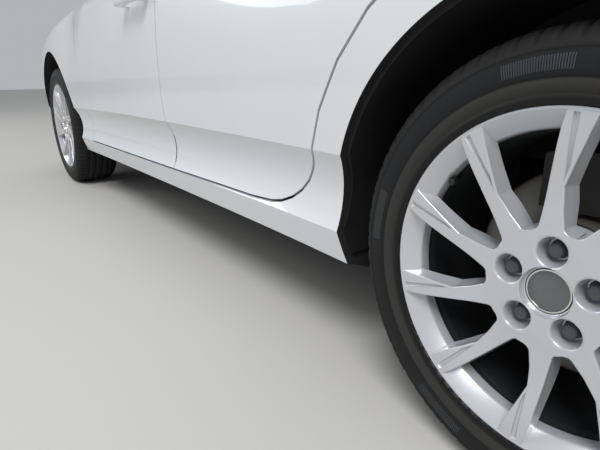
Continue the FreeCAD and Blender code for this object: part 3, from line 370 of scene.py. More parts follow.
def placed(name, mesh, material, sharp):
    """An object from a mesh, smooth but for edges sharper than an angle."""
    mesh.shade_smooth()
    mesh.set_sharp_from_angle(angle=math.radians(sharp))
    mesh.materials.append(material)
    piece = bpy.data.objects.new(name, mesh)
    bpy.context.collection.objects.link(piece)
    return piece


def new_piece(name, points, faces, material, sharp):
    """A mesh object from arrays of points and quads, as they are."""
    mesh = bpy.data.meshes.new(name)
    mesh.vertices.add(len(points))
    mesh.vertices.foreach_set("co", points.astype(np.float32).ravel())
    mesh.loops.add(faces.size)
    mesh.loops.foreach_set("vertex_index", faces.astype(np.int32).ravel())
    mesh.polygons.add(len(faces))
    mesh.polygons.foreach_set("loop_start", np.arange(0, faces.size, 4, dtype=np.int32))
    mesh.update(calc_edges=True)
    mesh.validate()
    return placed(name, mesh, material, sharp)


def closed_piece(name, points, faces, material, sharp):
    """As new_piece, with the doubled points at poles merged and the faces turned outwards."""
    mesh = bpy.data.meshes.new(name)
    mesh.from_pydata(points.reshape(-1, 3).tolist(), [], faces.tolist())
    build = bmesh.new()
    build.from_mesh(mesh)
    bmesh.ops.remove_doubles(build, verts=build.verts, dist=1e-5)
    bmesh.ops.recalc_face_normals(build, faces=build.faces)
    build.to_mesh(mesh)
    build.free()
    return placed(name, mesh, material, sharp)


def on_body(piece, body):
    """Fixes a piece to a body."""
    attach(piece, body)
    return piece


def fit(name, shape, material, body, sharp=60.0):
    """A closed piece from (points, faces), fixed to a body."""
    return on_body(closed_piece(name, *shape, material, sharp), body)


def lathe(profile, count, loop=False):
    """Profile of (radius, across) pairs turned about the Y axis: x = r sin a, z = r cos a, y = across."""
    a = np.linspace(0, 2 * math.pi, count, endpoint=False)
    r, across = np.asarray(profile, float).T[:, :, None]
    points = np.stack([r * np.sin(a), np.broadcast_to(across, (len(r), count)), r * np.cos(a)], axis=-1)
    return points, grid_faces(len(r), count, True, loop)


def tube(path, radius, count=20):
    """Round bar along a path: rings of a circle square to the path, closed by a point at each end. The radius is
    one number, or one for each point of the path."""
    path = np.asarray(path, float)
    radius = np.broadcast_to(np.asarray(radius, float), (len(path),))[:, None, None]
    way = np.gradient(path, axis=0)
    way /= np.linalg.norm(way, axis=1)[:, None]
    side = np.cross(way, np.where(np.abs(way[:, 2:3]) > 0.9, [[0.0, 1.0, 0.0]], [[0.0, 0.0, 1.0]]))
    side /= np.linalg.norm(side, axis=1)[:, None]
    over = np.cross(way, side)
    a = np.linspace(0, 2 * math.pi, count, endpoint=False)[None, :, None]
    rings = path[:, None] + radius * (np.cos(a) * side[:, None] + np.sin(a) * over[:, None])
    first = np.broadcast_to(path[0], rings[:1].shape)
    last = np.broadcast_to(path[-1], rings[:1].shape)
    rings = np.concatenate([first, rings, last])
    return rings.reshape(-1, 3), grid_faces(len(rings), count, wrap=True)


MM = 0.001
SPOKES = 10
BOLTS = 5
RIM_EDGE_R = 234.0
HUB_FACE_Y = 96.0
POCKET_R = 20.0
POCKET_CIRCLE_R = 55.5
WINDOW_FOOT_R = 80.0
WINDOW_FOOT = 8.5
SPOKE_TIP_R = 231.5
LIP_IN_R = 206.0
VALVE_TURN = math.radians(54.0)
VALVE_LINE = ((210, 50), (207.5, 58), (204.5, 66), (203.5, 69), (201, 76), (200.5, 77), (197.5, 86), (197, 87.5))
VALVE_RADII = (5.5, 6.0, 5.5, 4.2, 4.0, 5.0, 5.0, 4.0)
# Lip and barrel as one closed profile: down inside the wheel, then back over the tyre's seats
BARREL = (
    (RIM_EDGE_R, 99), (RIM_EDGE_R, 105), (RIM_EDGE_R - 1.5, 106), (231, 106), (229.5, 105), (LIP_IN_R + 2.5, 86.5),
    (LIP_IN_R + 0.8, 84), (LIP_IN_R, 81), (LIP_IN_R - 0.5, 72), (LIP_IN_R - 0.5, 67), (LIP_IN_R + 2.5, 65.5),
    (LIP_IN_R + 2.5, 60), (203, 54), (201, 40), (203, -48), (212, -106), (228, -106), (RIM_EDGE_R, -105),
    (RIM_EDGE_R, -99), (218, -98), (218, -70), (210, -50), (210, 50), (218, 70), (220, 92), (230, 99),
)
HUB_BACK = ((32, 42.5), (70, 42.5), (84, 50), (81, 66), (76, 72))
CAP_RING = ((30.2, 78), (30.5, 84.5), (29.5, 86.5), (27.5, 86.5), (26.8, 85.2), (26.8, 78))
CAP = ((0, 83), (26.8, 83), (26.8, 85.0), (26.0, 85.2), (20, 86.0), (10, 86.5), (0, 86.6))
BOLT_CAP = ((0, 66), (12.5, 66), (12.5, 72), (10.5, 73.5), (10.0, 83), (8.5, 85), (5.0, 86), (0, 86.2))
# A spoke's edges, as its distance ahead of the middle line at distances out along it
OUT_ALONG = (78.0, 84.0, 111.0, 140.0, 150.0, 170.0, 190.0, 210.0, 226.0, 236.0)
LEADING_EDGE = (22.6, 21.8, 19.0, 16.4, 15.4, 13.2, 11.0, 8.4, 5.6, 4.0)
BLADE_EDGE = (-11.2, -10.6, -5.6, -2.6, -2.2, -2.2, -2.5, -2.9, -2.7, -2.6)
RIDGE_EDGE = (-11.2, -10.6, -5.6, -3.4, -6.6, -12.8, -19.6, -25.6, -30.4, -33.4)
GROOVE_END = 226.5
GROOVE_DEEP_AT = (142.0, 162.0)
GROOVE_DEPTH = 4.2
GROOVE_ACROSS = ((0.10, 0.25), (0.16, 0.9), (0.24, 1.0), (0.5, 0.95), (0.76, 0.9), (0.86, 0.8), (0.95, 0.2), (1.0, 0.0))
EDGE_ROUND = 2.2


def smooth(a, b, x):
    """0 below a and 1 above b, with a cubic ease between."""
    t = np.clip((x - a) / (b - a), 0, 1)
    return t * t * (3 - 2 * t)


def face_height(x, z, out):
    """Height of the rim's front: level hub, spokes rising to their tips, cap recess and bolt pockets."""
    r = np.hypot(x, z)
    y = HUB_FACE_Y - 1.0 * smooth(60, 90, r) + 10.4 * smooth(110, 231, out) ** 0.85
    y = y - 10.0 * (1 - smooth(31.5, 34.8, r))
    for i in range(BOLTS):
        a = 2 * math.pi * i / BOLTS
        away = np.hypot(x - POCKET_CIRCLE_R * math.sin(a), z - POCKET_CIRCLE_R * math.cos(a))
        y = y - 26.0 * smooth(0, 4.6, POCKET_R - away) - 1.4 * smooth(0, 3.0, POCKET_R + 2.4 - away)
    return y


def spoke_columns(out):
    """Places across the spoke for each row, and how far each lies down a rounded edge or in the groove."""
    lead, trail, blade = (np.interp(out, OUT_ALONG, edge) for edge in (LEADING_EDGE, RIDGE_EDGE, BLADE_EDGE))
    half_sector = out * math.tan(math.pi / SPOKES)
    q = np.clip((WINDOW_FOOT_R + WINDOW_FOOT - out) / WINDOW_FOOT, 0, 1)
    pull = 1 - np.sqrt(1 - q ** 2)
    lead = lead + (half_sector - lead) * pull
    trail = trail - (half_sector + trail) * pull
    grow = smooth(*GROOVE_DEEP_AT, out)
    groove_right = np.maximum(trail + 4.0, blade - 0.4 - (4.6 + 3.6 * np.clip((out - 158) / 68, 0, 1)) * grow)
    blade = np.maximum(blade, groove_right + 0.4)
    quarter = np.linspace(0, math.pi / 2, 5)
    rounded, dip = EDGE_ROUND * (1 - np.cos(quarter)), EDGE_ROUND * (1 - np.sin(quarter))
    flat, ridge = np.linspace(0, 1, 20)[1:], np.linspace(0, 1, 8)[1:]
    groove, depth = np.array(GROOVE_ACROSS).T
    lead, trail, blade, groove_right = (edge[:, None] for edge in (lead, trail, blade, groove_right))
    top = lead - EDGE_ROUND
    columns = [lead - rounded, top - (top - blade) * flat, blade - (blade - groove_right) * groove,
               groove_right - (groove_right - trail - EDGE_ROUND) * ridge, trail + rounded[-2::-1]]
    dips = [dip, 0 * flat, 0 * groove, 0 * ridge, dip[-2::-1]]
    deep = [0 * dip, 0 * flat, depth, 0 * ridge, 0 * dip[1:]]
    return np.concatenate(columns, axis=1), np.concatenate(dips), np.concatenate(deep)


def spoke_star():
    """For each spoke a grid, rows out along it and columns across it, with its two flanks drawn back and in."""
    out = np.concatenate([np.linspace(31, 76, 40), np.linspace(77, 79.4, 4), np.linspace(80, 90, 14),
                          np.linspace(92, 222, 50), [224, 225.5, 226.5, 227.5, 228.2, 229, SPOKE_TIP_R]])
    ahead, dips, deep = spoke_columns(out)
    rows = np.broadcast_to(out[:, None], ahead.shape)
    turn = ahead / out[:, None] * (math.pi / SPOKES) / math.tan(math.pi / SPOKES)
    straight = smooth(62, WINDOW_FOOT_R, rows) * (1 - smooth(205, 229, rows))
    x = straight * ahead + (1 - straight) * rows * np.sin(np.where(rows < 100, turn, ahead / rows))
    z = straight * rows + (1 - straight) * rows * np.cos(np.where(rows < 100, turn, ahead / rows))
    open_edge = smooth(WINDOW_FOOT_R - 0.5, WINDOW_FOOT_R + 2, rows)
    groove = smooth(*GROOVE_DEEP_AT, rows) * (1 - smooth(GROOVE_END - 0.5, GROOVE_END + 1.5, rows))
    tops, flanks = [], []
    base_y = -dips * open_edge - GROOVE_DEPTH * deep * groove
    keep = out >= WINDOW_FOOT_R
    down = np.linspace(0, 1, 8)[None, :]
    for i in range(SPOKES):
        a = 2 * math.pi * i / SPOKES
        px = x * math.cos(a) + z * math.sin(a)
        pz = z * math.cos(a) - x * math.sin(a)
        y = face_height(px, pz, np.hypot(px, pz)) + base_y
        tops.append((np.stack([px, y, pz], axis=-1), grid_faces(*px.shape)))
        feet = []
        for side, way, spread in ((0, 1, 2.5), (-1, -1, 4.5)):
            at_x, at_z, at_y = x[keep, side][:, None], z[keep, side][:, None], y[keep, side][:, None]
            drop = (30.0 - 10.0 * smooth(95, 200, out[keep]))[:, None]
            wide = spread * down ** 1.5 * smooth(WINDOW_FOOT_R, WINDOW_FOOT_R + 40, out[keep])[:, None]
            in_foot = (1 - smooth(WINDOW_FOOT_R, WINDOW_FOOT_R + WINDOW_FOOT, out[keep]))[:, None]
            fx = at_x + way * wide
            fz = at_z + 5.0 * down * in_foot
            flank = np.stack([fx * math.cos(a) + fz * math.sin(a), at_y - drop * down,
                              fz * math.cos(a) - fx * math.sin(a)], axis=-1)
            faces = grid_faces(*fx.shape)
            flanks.append((flank, faces[:, ::-1] if side == 0 else faces))
            feet.append(flank[:, -1])
        back = np.stack(feet, axis=1)
        flanks.append((back, grid_faces(*back.shape[:2])[:, ::-1]))
    return join(*tops, *flanks)


def make_rim(name, body, at, outward, finish):
    """Star, lip with its bevel, barrel and hub back, about Y through a wheel's middle, and the valve's rubber stem
    in the barrel half way between two spokes."""
    turned = (outward, outward, 1)
    points, faces = join(spoke_star(), lathe(BARREL, 160, True), lathe(HUB_BACK, 80))
    rim = on_body(new_piece(name, points * turned * MM + at, faces, finish, 32), body)
    bolt, faces = lathe(BOLT_CAP, 30)
    turns = [2 * math.pi * i / BOLTS for i in range(BOLTS)]
    bolts = join(*[(bolt + (POCKET_CIRCLE_R * math.sin(a), 0, POCKET_CIRCLE_R * math.cos(a)), faces) for a in turns])
    stem = tube([(r * math.sin(VALVE_TURN), y, r * math.cos(VALVE_TURN)) for r, y in VALVE_LINE], VALVE_RADII, 24)
    for kind, (points, faces), paint, slot, sharp in (
            ("_cap_ring", lathe(CAP_RING, 64, True), chrome, "alloy", 30),
            ("_cap", lathe(CAP, 64), cap_grey, "alloy", 30), ("_bolt_caps", bolts, bolt_grey, "black_plastic", 30),
            ("_valve", stem, plastic, "black_plastic", 60)):
        fit(name + kind, (points * turned * MM + at, faces), paint, body, sharp)
    return rim


chrome = new_material("chrome", "#d9dadb", 0.08, 1.0)
cap_grey = mottle(new_material("cap_grey", "#77787a", 0.35, 0.8), "#818284", "#6b6c6e", 30.0, (0.3, 0.4))
bolt_grey = mottle(new_material("bolt_cap_plastic", "#4b4c50", 0.45), "#525358", "#434448", 30.0, (0.4, 0.5))
WHEEL_Y = 0.7765
AXLES = (("front", FRONT_X), ("rear", REAR_X))
SIDES = (("left", 1), ("right", -1))
for end, x in AXLES:
    alloy = wheel_paint_barrel_shade("wheel_paint_barrel_shade_" + end, x)
    for side, outward in SIDES:
        node = end + "_rim_" + side
        coat(alloy, node)
        rim = make_rim(node + "_cast", "wheel_" + end + "_" + side, np.array([x, WHEEL_Y * outward, WHEEL_Z]), outward,
                       alloy)
        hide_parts(node)


# Tyres
# Moulded rubber: rim protector, plain sidewall bands, a rounded shoulder with slots, and four grooves round the
# tread. Millimetres from the wheel's middle, as (radius, y).
def banded(material, radius, stops):
    """Colour by distance from the axle: a ramp whose stops are (radius in metres, sRGB colour)."""
    ramp = add(material, "ValToRGB", Fac=scaled(radius, 1 / 0.35))
    elements = ramp.color_ramp.elements
    for element, (at, colour) in zip(elements, (stops[0], stops[-1])):
        element.position = at / 0.35
        element.color = linear(colour)
    for at, colour in stops[1:-1]:
        elements.new(at / 0.35).color = linear(colour)
    return ramp.outputs["Color"]


# A black shiny band at the rim, a dusty brownish one over it, a darker one outside it, then the worn shoulder
# The two darkest narrow rings, at 265.5 and 295.5 mm, lie in the sidewall's shallow grooves: painted shade.
TYRE_BANDS = ((0.226, "#08080a"), (0.2445, "#0b0b0d"), (0.2475, "#2c2b28"), (0.262, "#32312e"), (0.2655, "#0c0c0d"),
              (0.268, "#131417"), (0.292, "#121316"), (0.2955, "#08080a"), (0.298, "#1b1b1b"), (0.312, "#1a1a1a"),
              (0.3265, "#151515"))
RIB_RING_R, RIB_RING_HALF = 0.2815, 0.0085
RIBS_ROUND = 560.0
PATCHES_ROUND = 5.0


def tyre_rubber(name, wheel_x):
    """Rubber in rings of different age and dust, with painted shade in two grooved rings, and five patches of fine
    radial ribs on the sidewall, coloured a lighter bluish grey as painted sheen.
    """
    material = new_material(name, "#1d1d1e", 0.75, Specular_IOR_Level=0.3)
    radius, turn = from_axle(material, wheel_x)
    patch = maths("GREATER_THAN", maths("SINE", scaled(turn, PATCHES_ROUND, 0.8)), 0.72)
    ribs = both(both(maths("SINE", scaled(turn, RIBS_ROUND)), patch), near(radius, RIB_RING_R, RIB_RING_HALF))
    place = add(material, "TexCoord").outputs["Object"]
    grain = add(material, "TexNoise", Scale=600.0, Detail=3.0, Vector=place).outputs["Fac"]
    # Painted sheen: the ribs are coloured a lighter bluish grey for the light they catch.
    rib_sheen_colour = add(material, "Mix", data_type="RGBA", A=banded(material, radius, TYRE_BANDS), B=linear("#3c3f44"),
              Factor=maths("GREATER_THAN", ribs, 0.1))
    spread = add(material, "MapRange", Value=radius, From_Min=0.242, From_Max=0.248, To_Min=0.38, To_Max=0.68)
    bumped(material, maths("ADD", scaled(ribs, 2.2), grain), 0.3)
    return shade(material, Base_Color=rib_sheen_colour.outputs["Result"], Roughness=spread.outputs["Result"])


TYRE_R = 326.5
TREAD_BLOCKS = 76
SLOT_SAMPLES = 8
SIDEWALL = [
    (231.0, 96.0), (233.5, 103.0), (236.5, 107.5), (240.0, 109.6), (243.5, 110.0), (245.5, 108.2), (248.0, 108.0),
    (250.0, 109.6), (256.0, 111.2), (263.0, 112.4), (264.0, 112.0), (265.0, 112.0), (266.0, 112.8), (275.0, 113.0),
    (286.0, 112.0), (293.0, 110.2), (294.0, 109.2), (296.0, 109.0), (297.5, 109.4), (303.0, 106.8), (309.0, 103.0),
    (314.5, 98.0), (319.0, 91.5), (322.5, 84.0), (324.6, 76.0), (325.6, 68.0),
]
RIB_GROOVES = ((52.0, 9.0), (18.0, 8.0), (-18.0, 8.0), (-52.0, 9.0))
GROOVE_DEEP = 7.0
SLOT_DEEP, HALF_SLOT_DEEP = 4.5, 2.0


def tyre_profile():
    """The sidewall out, across the tread with its round grooves, and back in: (radius, y) pairs."""
    tread = []
    for y, width in RIB_GROOVES:
        h = width / 2
        for dy, deep in ((h + 1, 0), (h, 0.6), (h - 1, GROOVE_DEEP), (-h + 1, GROOVE_DEEP), (-h, 0.6), (-h - 1, 0)):
            tread.append((TYRE_R - deep - 0.9 * ((y + dy) / 68) ** 2, y + dy))
    inner = [(r, -y) for r, y in reversed(SIDEWALL)]
    return np.array(SIDEWALL + tread + inner)


def make_tyre(name, body, at, outward, finish):
    """Profile turned about Y, pressed in at the shoulder slots: a wave in the turn times a band across."""
    profile = tyre_profile()
    count = TREAD_BLOCKS * SLOT_SAMPLES
    points, faces = lathe(profile, count, True)
    turn = np.arange(count) % SLOT_SAMPLES
    slot = np.isin(turn, (0, 1)).astype(float)
    half_slot = np.isin(turn, (4,)).astype(float)
    across = np.abs(profile[:, 1])[:, None]
    radius = profile[:, 0][:, None]
    band = (1 - smooth(101, 105, across)) * smooth(57, 60, across)
    press = 1 - (SLOT_DEEP * slot + HALF_SLOT_DEEP * half_slot * (across < 92))[None, :] * band / radius
    press = press.reshape(len(profile), count)
    points[..., 0] *= press
    points[..., 2] *= press
    points = points.reshape(-1, 3) * (outward, outward, 1) * MM + at
    return on_body(new_piece(name, points, faces[:, ::-1], finish, 50), body)


for end, x in AXLES:
    rubber = tyre_rubber("tyre_rubber_" + end, x)
    for side, outward in SIDES:
        node = end + "_tyre_" + side
        coat(rubber, node)
        tyre = make_tyre(node + "_tread", "wheel_" + end + "_" + side, np.array([x, WHEEL_Y * outward, WHEEL_Z]),
                         outward, rubber)
        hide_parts(node)


# Brake discs
# Cast iron: swept faces polished in fine rings (drawn 2.2 mm apart to show), with a rusty rim and hat.
DISC_BANDS = ((0.06, "#57504a"), (0.083, "#4a443e"), (0.087, "#b9b6b1"), (0.112, "#cdcac5"), (0.138, "#b9b5b0"),
              (0.1465, "#9a938b"), (0.1485, "#5d5046"))
DISC_WAVES = ((2856.0, 0.0), (5210.0, 1.0))


def disc_iron(name, wheel_x):
    """Iron in rings: two waves along the radius, one coarse and one fine, set its height and its polish."""
    material = new_material(name, "#8d8a86", 0.35, 0.2)
    radius, turn = from_axle(material, wheel_x)
    height = maths("ADD", *[maths("SINE", scaled(radius, *wave)) for wave in DISC_WAVES])
    spread = add(material, "MapRange", Value=height, From_Min=-2.0, From_Max=2.0, To_Min=0.3, To_Max=0.5)
    bumped(material, height, 0.8)
    return shade(material, Base_Color=banded(material, radius, DISC_BANDS), Roughness=spread.outputs["Result"])


for end, x in AXLES:
    iron = disc_iron("brake_iron_" + end, x)
    coat(iron, end + "_brake_disc_left", end + "_brake_disc_right")


# Front seats
# Foam on a steel frame under woven cloth: a cushion and a back with raised side bolsters and sewn channels,
# and a head restraint on two steel posts, over a moulded valance on the seat's runners.
def power(base, n):
    """The size of each number raised to a power, with its own sign."""
    return np.sign(base) * np.abs(base) ** n


def pad(start, end, y, width, thick, bolster=0.0, channels=(), cross=(), pull=0.02, round_end=10.0,
        grid=(121, 192)):
    """Closed pad between two points (x, z) seen from the side. Each section across is a superellipse, its top
    raised at the sides by the bolster; sections shrink to the ends as (1 - |v|^n)^(1/6), the sides pull in
    between the corners, and seams press in as narrow bells across (channels) or along (cross)."""
    v = np.linspace(-1, 1, grid[0])[:, None]
    v = np.sin(v * math.pi / 2) * 0.35 + v * 0.65
    a = np.linspace(0, 2 * math.pi, grid[1], endpoint=False)[None, :]
    u, lift = power(np.cos(a), 0.45), power(np.sin(a), 0.62)
    fade = np.clip(1 - np.abs(v) ** round_end, 0, 1)
    half = width / 2 * fade ** (1 / 6) * (1 - pull * (1 - v ** 2))
    height = thick / 2 * fade ** 0.4
    top = np.clip(lift, 0, 1)
    raised = bolster * smooth(0.56, 0.80, np.abs(u)) * top * fade ** 0.5
    crown = 0.012 * (1 - u ** 2) * (1 - v ** 2) * lift
    press = np.zeros_like(u * v)
    for at in channels:
        press = press + 0.007 * np.exp(-((u - at) * width / 2 / 0.006) ** 2)
    for at in cross:
        inner = 1 - smooth(0.52, 0.60, np.abs(u))
        press = press + 0.006 * np.exp(-((v - at) / 0.022) ** 2) * inner
    rise = lift * height + raised + crown - press * top * fade
    start, end = np.array(start), np.array(end)
    mid, way = (start + end) / 2, (end - start) / 2
    normal = np.array([-way[1], way[0]]) / np.hypot(*way)
    if normal[1] < 0 or (abs(way[1]) > abs(way[0]) and normal[0] < 0):
        normal = -normal
    x = mid[0] + way[0] * v + normal[0] * rise
    z = mid[1] + way[1] * v + normal[1] * rise
    points = np.stack([x, y + half * u, z], axis=-1)
    return points.reshape(-1, 3), grid_faces(*points.shape[:2], wrap=True)


cloth = mottle(new_material("seat_cloth", "#2c2d30", 0.9, Sheen_Weight=0.4), "#34353a", "#232428", 60.0, (0.8, 1.0),
               0.5, 1500.0)
coat_all(cloth, "seat_cloth")
SEAT_Y = 0.370
CUSHION_LINE = ((-0.175, 0.405), (0.344, 0.432))
BACK_LINE = ((-0.085, 0.452), (-0.262, 1.055))
REST_LINE = ((-0.297, 1.092), (-0.322, 1.238))
VALANCE_LINE = ((-0.150, 0.330), (0.318, 0.345))
RUNNER_LINE = ((-0.130, 0.262), (0.290, 0.262))
POST_LINE = ((-0.300, 1.02), (-0.303, 1.06), (-0.306, 1.12))
POST_HALF, RUNNER_HALF = 0.06, 0.16
BOLSTER_SEAMS = (-0.56, 0.56)
MEDIUM, COARSE = (81, 112), (41, 64)
for side, way in SIDES:
    name, y = "front_seat_" + side, SEAT_Y * way
    cushion = pad(*CUSHION_LINE, y, 0.494, 0.100, 0.022, BOLSTER_SEAMS, (-0.35, 0.05, 0.42))
    back = pad(*BACK_LINE, y, 0.474, 0.088, 0.024, BOLSTER_SEAMS, (-0.55, -0.15, 0.25, 0.62))
    head_rest = pad(*REST_LINE, y, 0.250, 0.070, pull=0.05, round_end=5.0, grid=MEDIUM)
    valance = pad(*VALANCE_LINE, y, 0.440, 0.100, pull=0.0, round_end=14.0, grid=COARSE)
    posts = [tube([(x, y + s, z) for x, z in POST_LINE], 0.0065) for s in (-POST_HALF, POST_HALF)]
    runners = [pad(*RUNNER_LINE, y + s, 0.052, 0.050, pull=0.0, round_end=20.0, grid=COARSE)
               for s in (-RUNNER_HALF, RUNNER_HALF)]
    soft = [fit(name + kind, shape, cloth, "body")
            for kind, shape in (("_cushion", cushion), ("_back", back), ("_head_rest", head_rest))]
    fit(name + "_posts", join(*posts), chrome, "body")
    fit(name + "_valance", valance, cabin, "body")
    fit(name + "_runners", join(*runners), steel, "body")
    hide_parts(name)

# Rear bench
# One foam cushion and one foam back across the car, sewn in four places, in the seats' cloth.
BENCH_WIDTH = 1.236
BENCH_SEAMS = (-0.62, -0.22, 0.22, 0.62)
bench_cushion = pad((-0.985, 0.372), (-0.612, 0.392), 0.0, BENCH_WIDTH, 0.200, 0.012, BENCH_SEAMS, (-0.2, 0.35))
bench_back = pad((-0.985, 0.500), (-1.130, 0.905), 0.0, BENCH_WIDTH, 0.096, 0.012, BENCH_SEAMS, (-0.45, 0.1, 0.6))
bench = [fit("rear_bench" + kind, shape, cloth, "body")
         for kind, shape in (("_cushion", bench_cushion), ("_back", bench_back))]
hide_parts("rear_bench")

# Window seals
# Extruded rubber round each door's window: a flat arch 14 mm wide that stands 3 mm off the frame, pushed on.
def surface(*names):
    """CAD pieces as one surface to drop lines onto."""
    points, faces = [], []
    for name in names:
        mesh = nodes[name].data
        start = len(points)
        points += [tuple(v.co) for v in mesh.vertices]
        faces += [tuple(start + i for i in p.vertices) for p in mesh.polygons]
    return BVHTree.FromPolygons(points, faces)


def dropped(tree, starts, way):
    """Points carried along a direction to where each first meets a surface, or NaN where it meets none."""
    hits = [tree.ray_cast(Vector(p), Vector(way))[0] for p in starts.reshape(-1, 3)]
    return np.array([(math.nan,) * 3 if h is None else tuple(h) for h in hits]).reshape(starts.shape)


SEAL_STEP = 0.012
SEAL_WIDTHS = np.array((0.0010, 0.0012, 0.003, 0.008, 0.013, 0.0148, 0.0150))
SEAL_HEIGHTS = np.array((-0.004, 0.0015, 0.003, 0.0034, 0.003, 0.0015, -0.002))
OUTSIDE_Y, FRAME_Y = 1.3, 0.75


def seal(door, outline, side):
    """Strip round a closed side outline (x, z), its corners mitred: rows every step along the outline, each with
    points at the seal's widths outside it, dropped onto the door along Y and raised off it by the seal's heights."""
    outline = np.array(outline)
    after = np.roll(outline, -1, axis=0)
    if np.sum(outline[:, 0] * after[:, 1] - after[:, 0] * outline[:, 1]) < 0:
        outline = outline[::-1]
    ahead = np.roll(outline, -1, axis=0) - outline
    length = np.linalg.norm(ahead, axis=1)
    out = np.stack([ahead[:, 1], -ahead[:, 0]], axis=1) / length[:, None]
    before = np.roll(out, 1, axis=0)
    corner = (out + before) / (1 + np.sum(out * before, axis=1))[:, None]
    line, reach = [], []
    for i, span in enumerate(length):
        j = (i + 1) % len(outline)
        count = max(2, int(span / SEAL_STEP))
        t = (np.arange(count) / count)[:, None]
        line.append(outline[i] * (1 - t) + outline[j] * t)
        reach.append(corner[i] * (1 - t) + corner[j] * t)
    flat = np.concatenate(line)[:, None] + np.concatenate(reach)[:, None] * SEAL_WIDTHS[:, None]
    starts = np.stack([flat[..., 0], np.full(flat.shape[:2], OUTSIDE_Y * side), flat[..., 1]], axis=-1)
    y = np.abs(dropped(surface(door), starts, (0, -side, 0))[..., 1])
    for column in range(len(SEAL_WIDTHS)):
        beside = y[:, column - 1] if column else FRAME_Y
        y[:, column] = np.where(np.isnan(y[:, column]), beside, y[:, column])
    points = np.stack([flat[..., 0], side * (y + SEAL_HEIGHTS), flat[..., 1]], axis=-1)
    points = np.concatenate([points, points[:1]])
    return points.reshape(-1, 3), grid_faces(*points.shape[:2], True)


OPENINGS = {
    "front": ((0.679, 0.965), (0.679, 0.984), (0.400, 1.133), (0.120, 1.256), (-0.069, 1.284), (-0.069, 0.965)),
    "rear": ((-0.167, 0.965), (-0.167, 1.292), (-0.500, 1.302), (-0.829, 1.282), (-0.944, 1.235), (-1.094, 0.973),
             (-1.094, 0.965)),
}
seal_rubber = mottle(new_material("seal_rubber", "#141415", 0.4), "#18181a", "#101011", 30.0, (0.35, 0.5))
for end, outline in OPENINGS.items():
    for side, way in SIDES:
        door = end + "_door_" + side
        fit(door + "_window_seal", seal(door, outline, way), seal_rubber, door)

# Arm rests
# Moulded over foam and screwed to the doors' inner faces.
ARM_REST_Y = 0.733
ARM_REST_Z = (0.640, 0.655)
for end, ends in (("front", (0.05, 0.60)), ("rear", (-0.78, -0.28))):
    for side, way in SIDES:
        door = end + "_door_" + side
        rest = pad(*zip(ends, ARM_REST_Z), way * ARM_REST_Y, 0.072, 0.055, pull=0.0, round_end=8.0, grid=COARSE)
        fit(door + "_arm_rest", rest, cabin, door)

# Door mirrors
# Silvered glass set 1 mm into the back of each housing, in a black moulded surround. Rows are (inset, depth).
def pillow(at, across, up, half_w, half_h, rows, n, count=96):
    """Closed form of stacked superellipses |u/w|^n + |v/h|^n = 1 square to across x up. Each row is (inset, depth):
    its ring is drawn in by the inset on both axes and raised by the depth. It is closed by a point at each end."""
    a = np.linspace(0, 2 * math.pi, count, endpoint=False)[None, :, None]
    u, v = power(np.round(np.cos(a), 9), 2 / n), power(np.round(np.sin(a), 9), 2 / n)
    across, up, at = np.array(across, float), np.array(up, float), np.array(at, float)
    normal = np.cross(across, up)
    rows = np.array([(min(half_w, half_h), rows[0][1])] + list(rows) + [(min(half_w, half_h), rows[-1][1])])
    inset, depth = rows[:, 0][:, None, None], rows[:, 1][:, None, None]
    points = at + across * (half_w - inset) * u + up * (half_h - inset) * v + normal * depth
    return points.reshape(-1, 3), grid_faces(len(rows), count, wrap=True)


MIRROR_AT = (0.680, 0.956, 1.011)
SURROUND_HALF, GLASS_HALF = 0.052, 0.0445
SURROUND_ROWS = ((0.004, -0.004), (0, 0), (0.002, 0.0018), (0.006, 0.0018), (0.0075, 0.0))
GLASS_ROWS = ((0.001, -0.001), (0, 0.0008), (0.001, 0.0011))
REARWARD = (0, -1, 0), (0, 0, 1)
mirror_silver = new_material("mirror_silver", "#cfd6da", 0.02, 1.0)
for side, way in SIDES:
    at = (MIRROR_AT[0], MIRROR_AT[1] * way, MIRROR_AT[2])
    surround = pillow(at, *REARWARD, SURROUND_HALF, SURROUND_HALF, SURROUND_ROWS, 5.0)
    glass = pillow(at, *REARWARD, GLASS_HALF, GLASS_HALF, GLASS_ROWS, 5.0)
    door = "front_door_" + side
    fit("mirror_surround_" + side, surround, plastic, door)
    fit("mirror_glass_" + side, glass, mirror_silver, door)

# Number plates
# Bare pressed plates, 520 by 110 mm, enamelled white, each in a black moulded holder screwed to the bodywork.
PLATES = (("front", "front_bumper", 0.480, 1, "body"), ("rear", "boot_lid", 0.800, -1, "boot_lid"))
PLATE_HALF = (0.258, 0.054)
HOLDER_HALF = (0.266, 0.062)
PLATE_ROWS = ((0.001, 0.003), (0, 0.0052), (0.0012, 0.0064), (0.004, 0.0064), (0.0052, 0.0056))
HOLDER_ROWS = ((0, 0.002), (0.003, 0.006), (0.006, 0.006), (0.007, 0.0045))
HOLDER_BACK = -0.02
PROBE_Z, PROBE_Y = 0.050, 0.255
FAR_X = 3.0
SQUARE = 14.0
plate_white = mottle(new_material("plate_enamel", "#e9eaea", 0.35), "#ececec", "#e2e3e3", 20.0, (0.3, 0.4))
for name, node, z, way, body in PLATES:
    probes = np.array([(0.0, z - PROBE_Z), (0.0, z + PROBE_Z), (PROBE_Y, z)])
    starts = np.column_stack([np.full(3, FAR_X * way), probes])
    low, high, edge = dropped(surface(node), starts, (-way, 0, 0))
    up = (high - low) / np.linalg.norm(high - low)
    across = np.array((0.0, way, 0.0))
    middle = (low + high) / 2 + np.cross(across, up) * 0.001
    back_row = (0.004, HOLDER_BACK - abs(edge[0] - middle[0]))
    holder = pillow(middle, across, up, *HOLDER_HALF, (back_row, *HOLDER_ROWS), SQUARE, 160)
    plate = pillow(middle, across, up, *PLATE_HALF, PLATE_ROWS, SQUARE, 160)
    fit(name + "_plate_holder", holder, plastic, body, 30)
    fit(name + "_plate", plate, plate_white, body, 30)

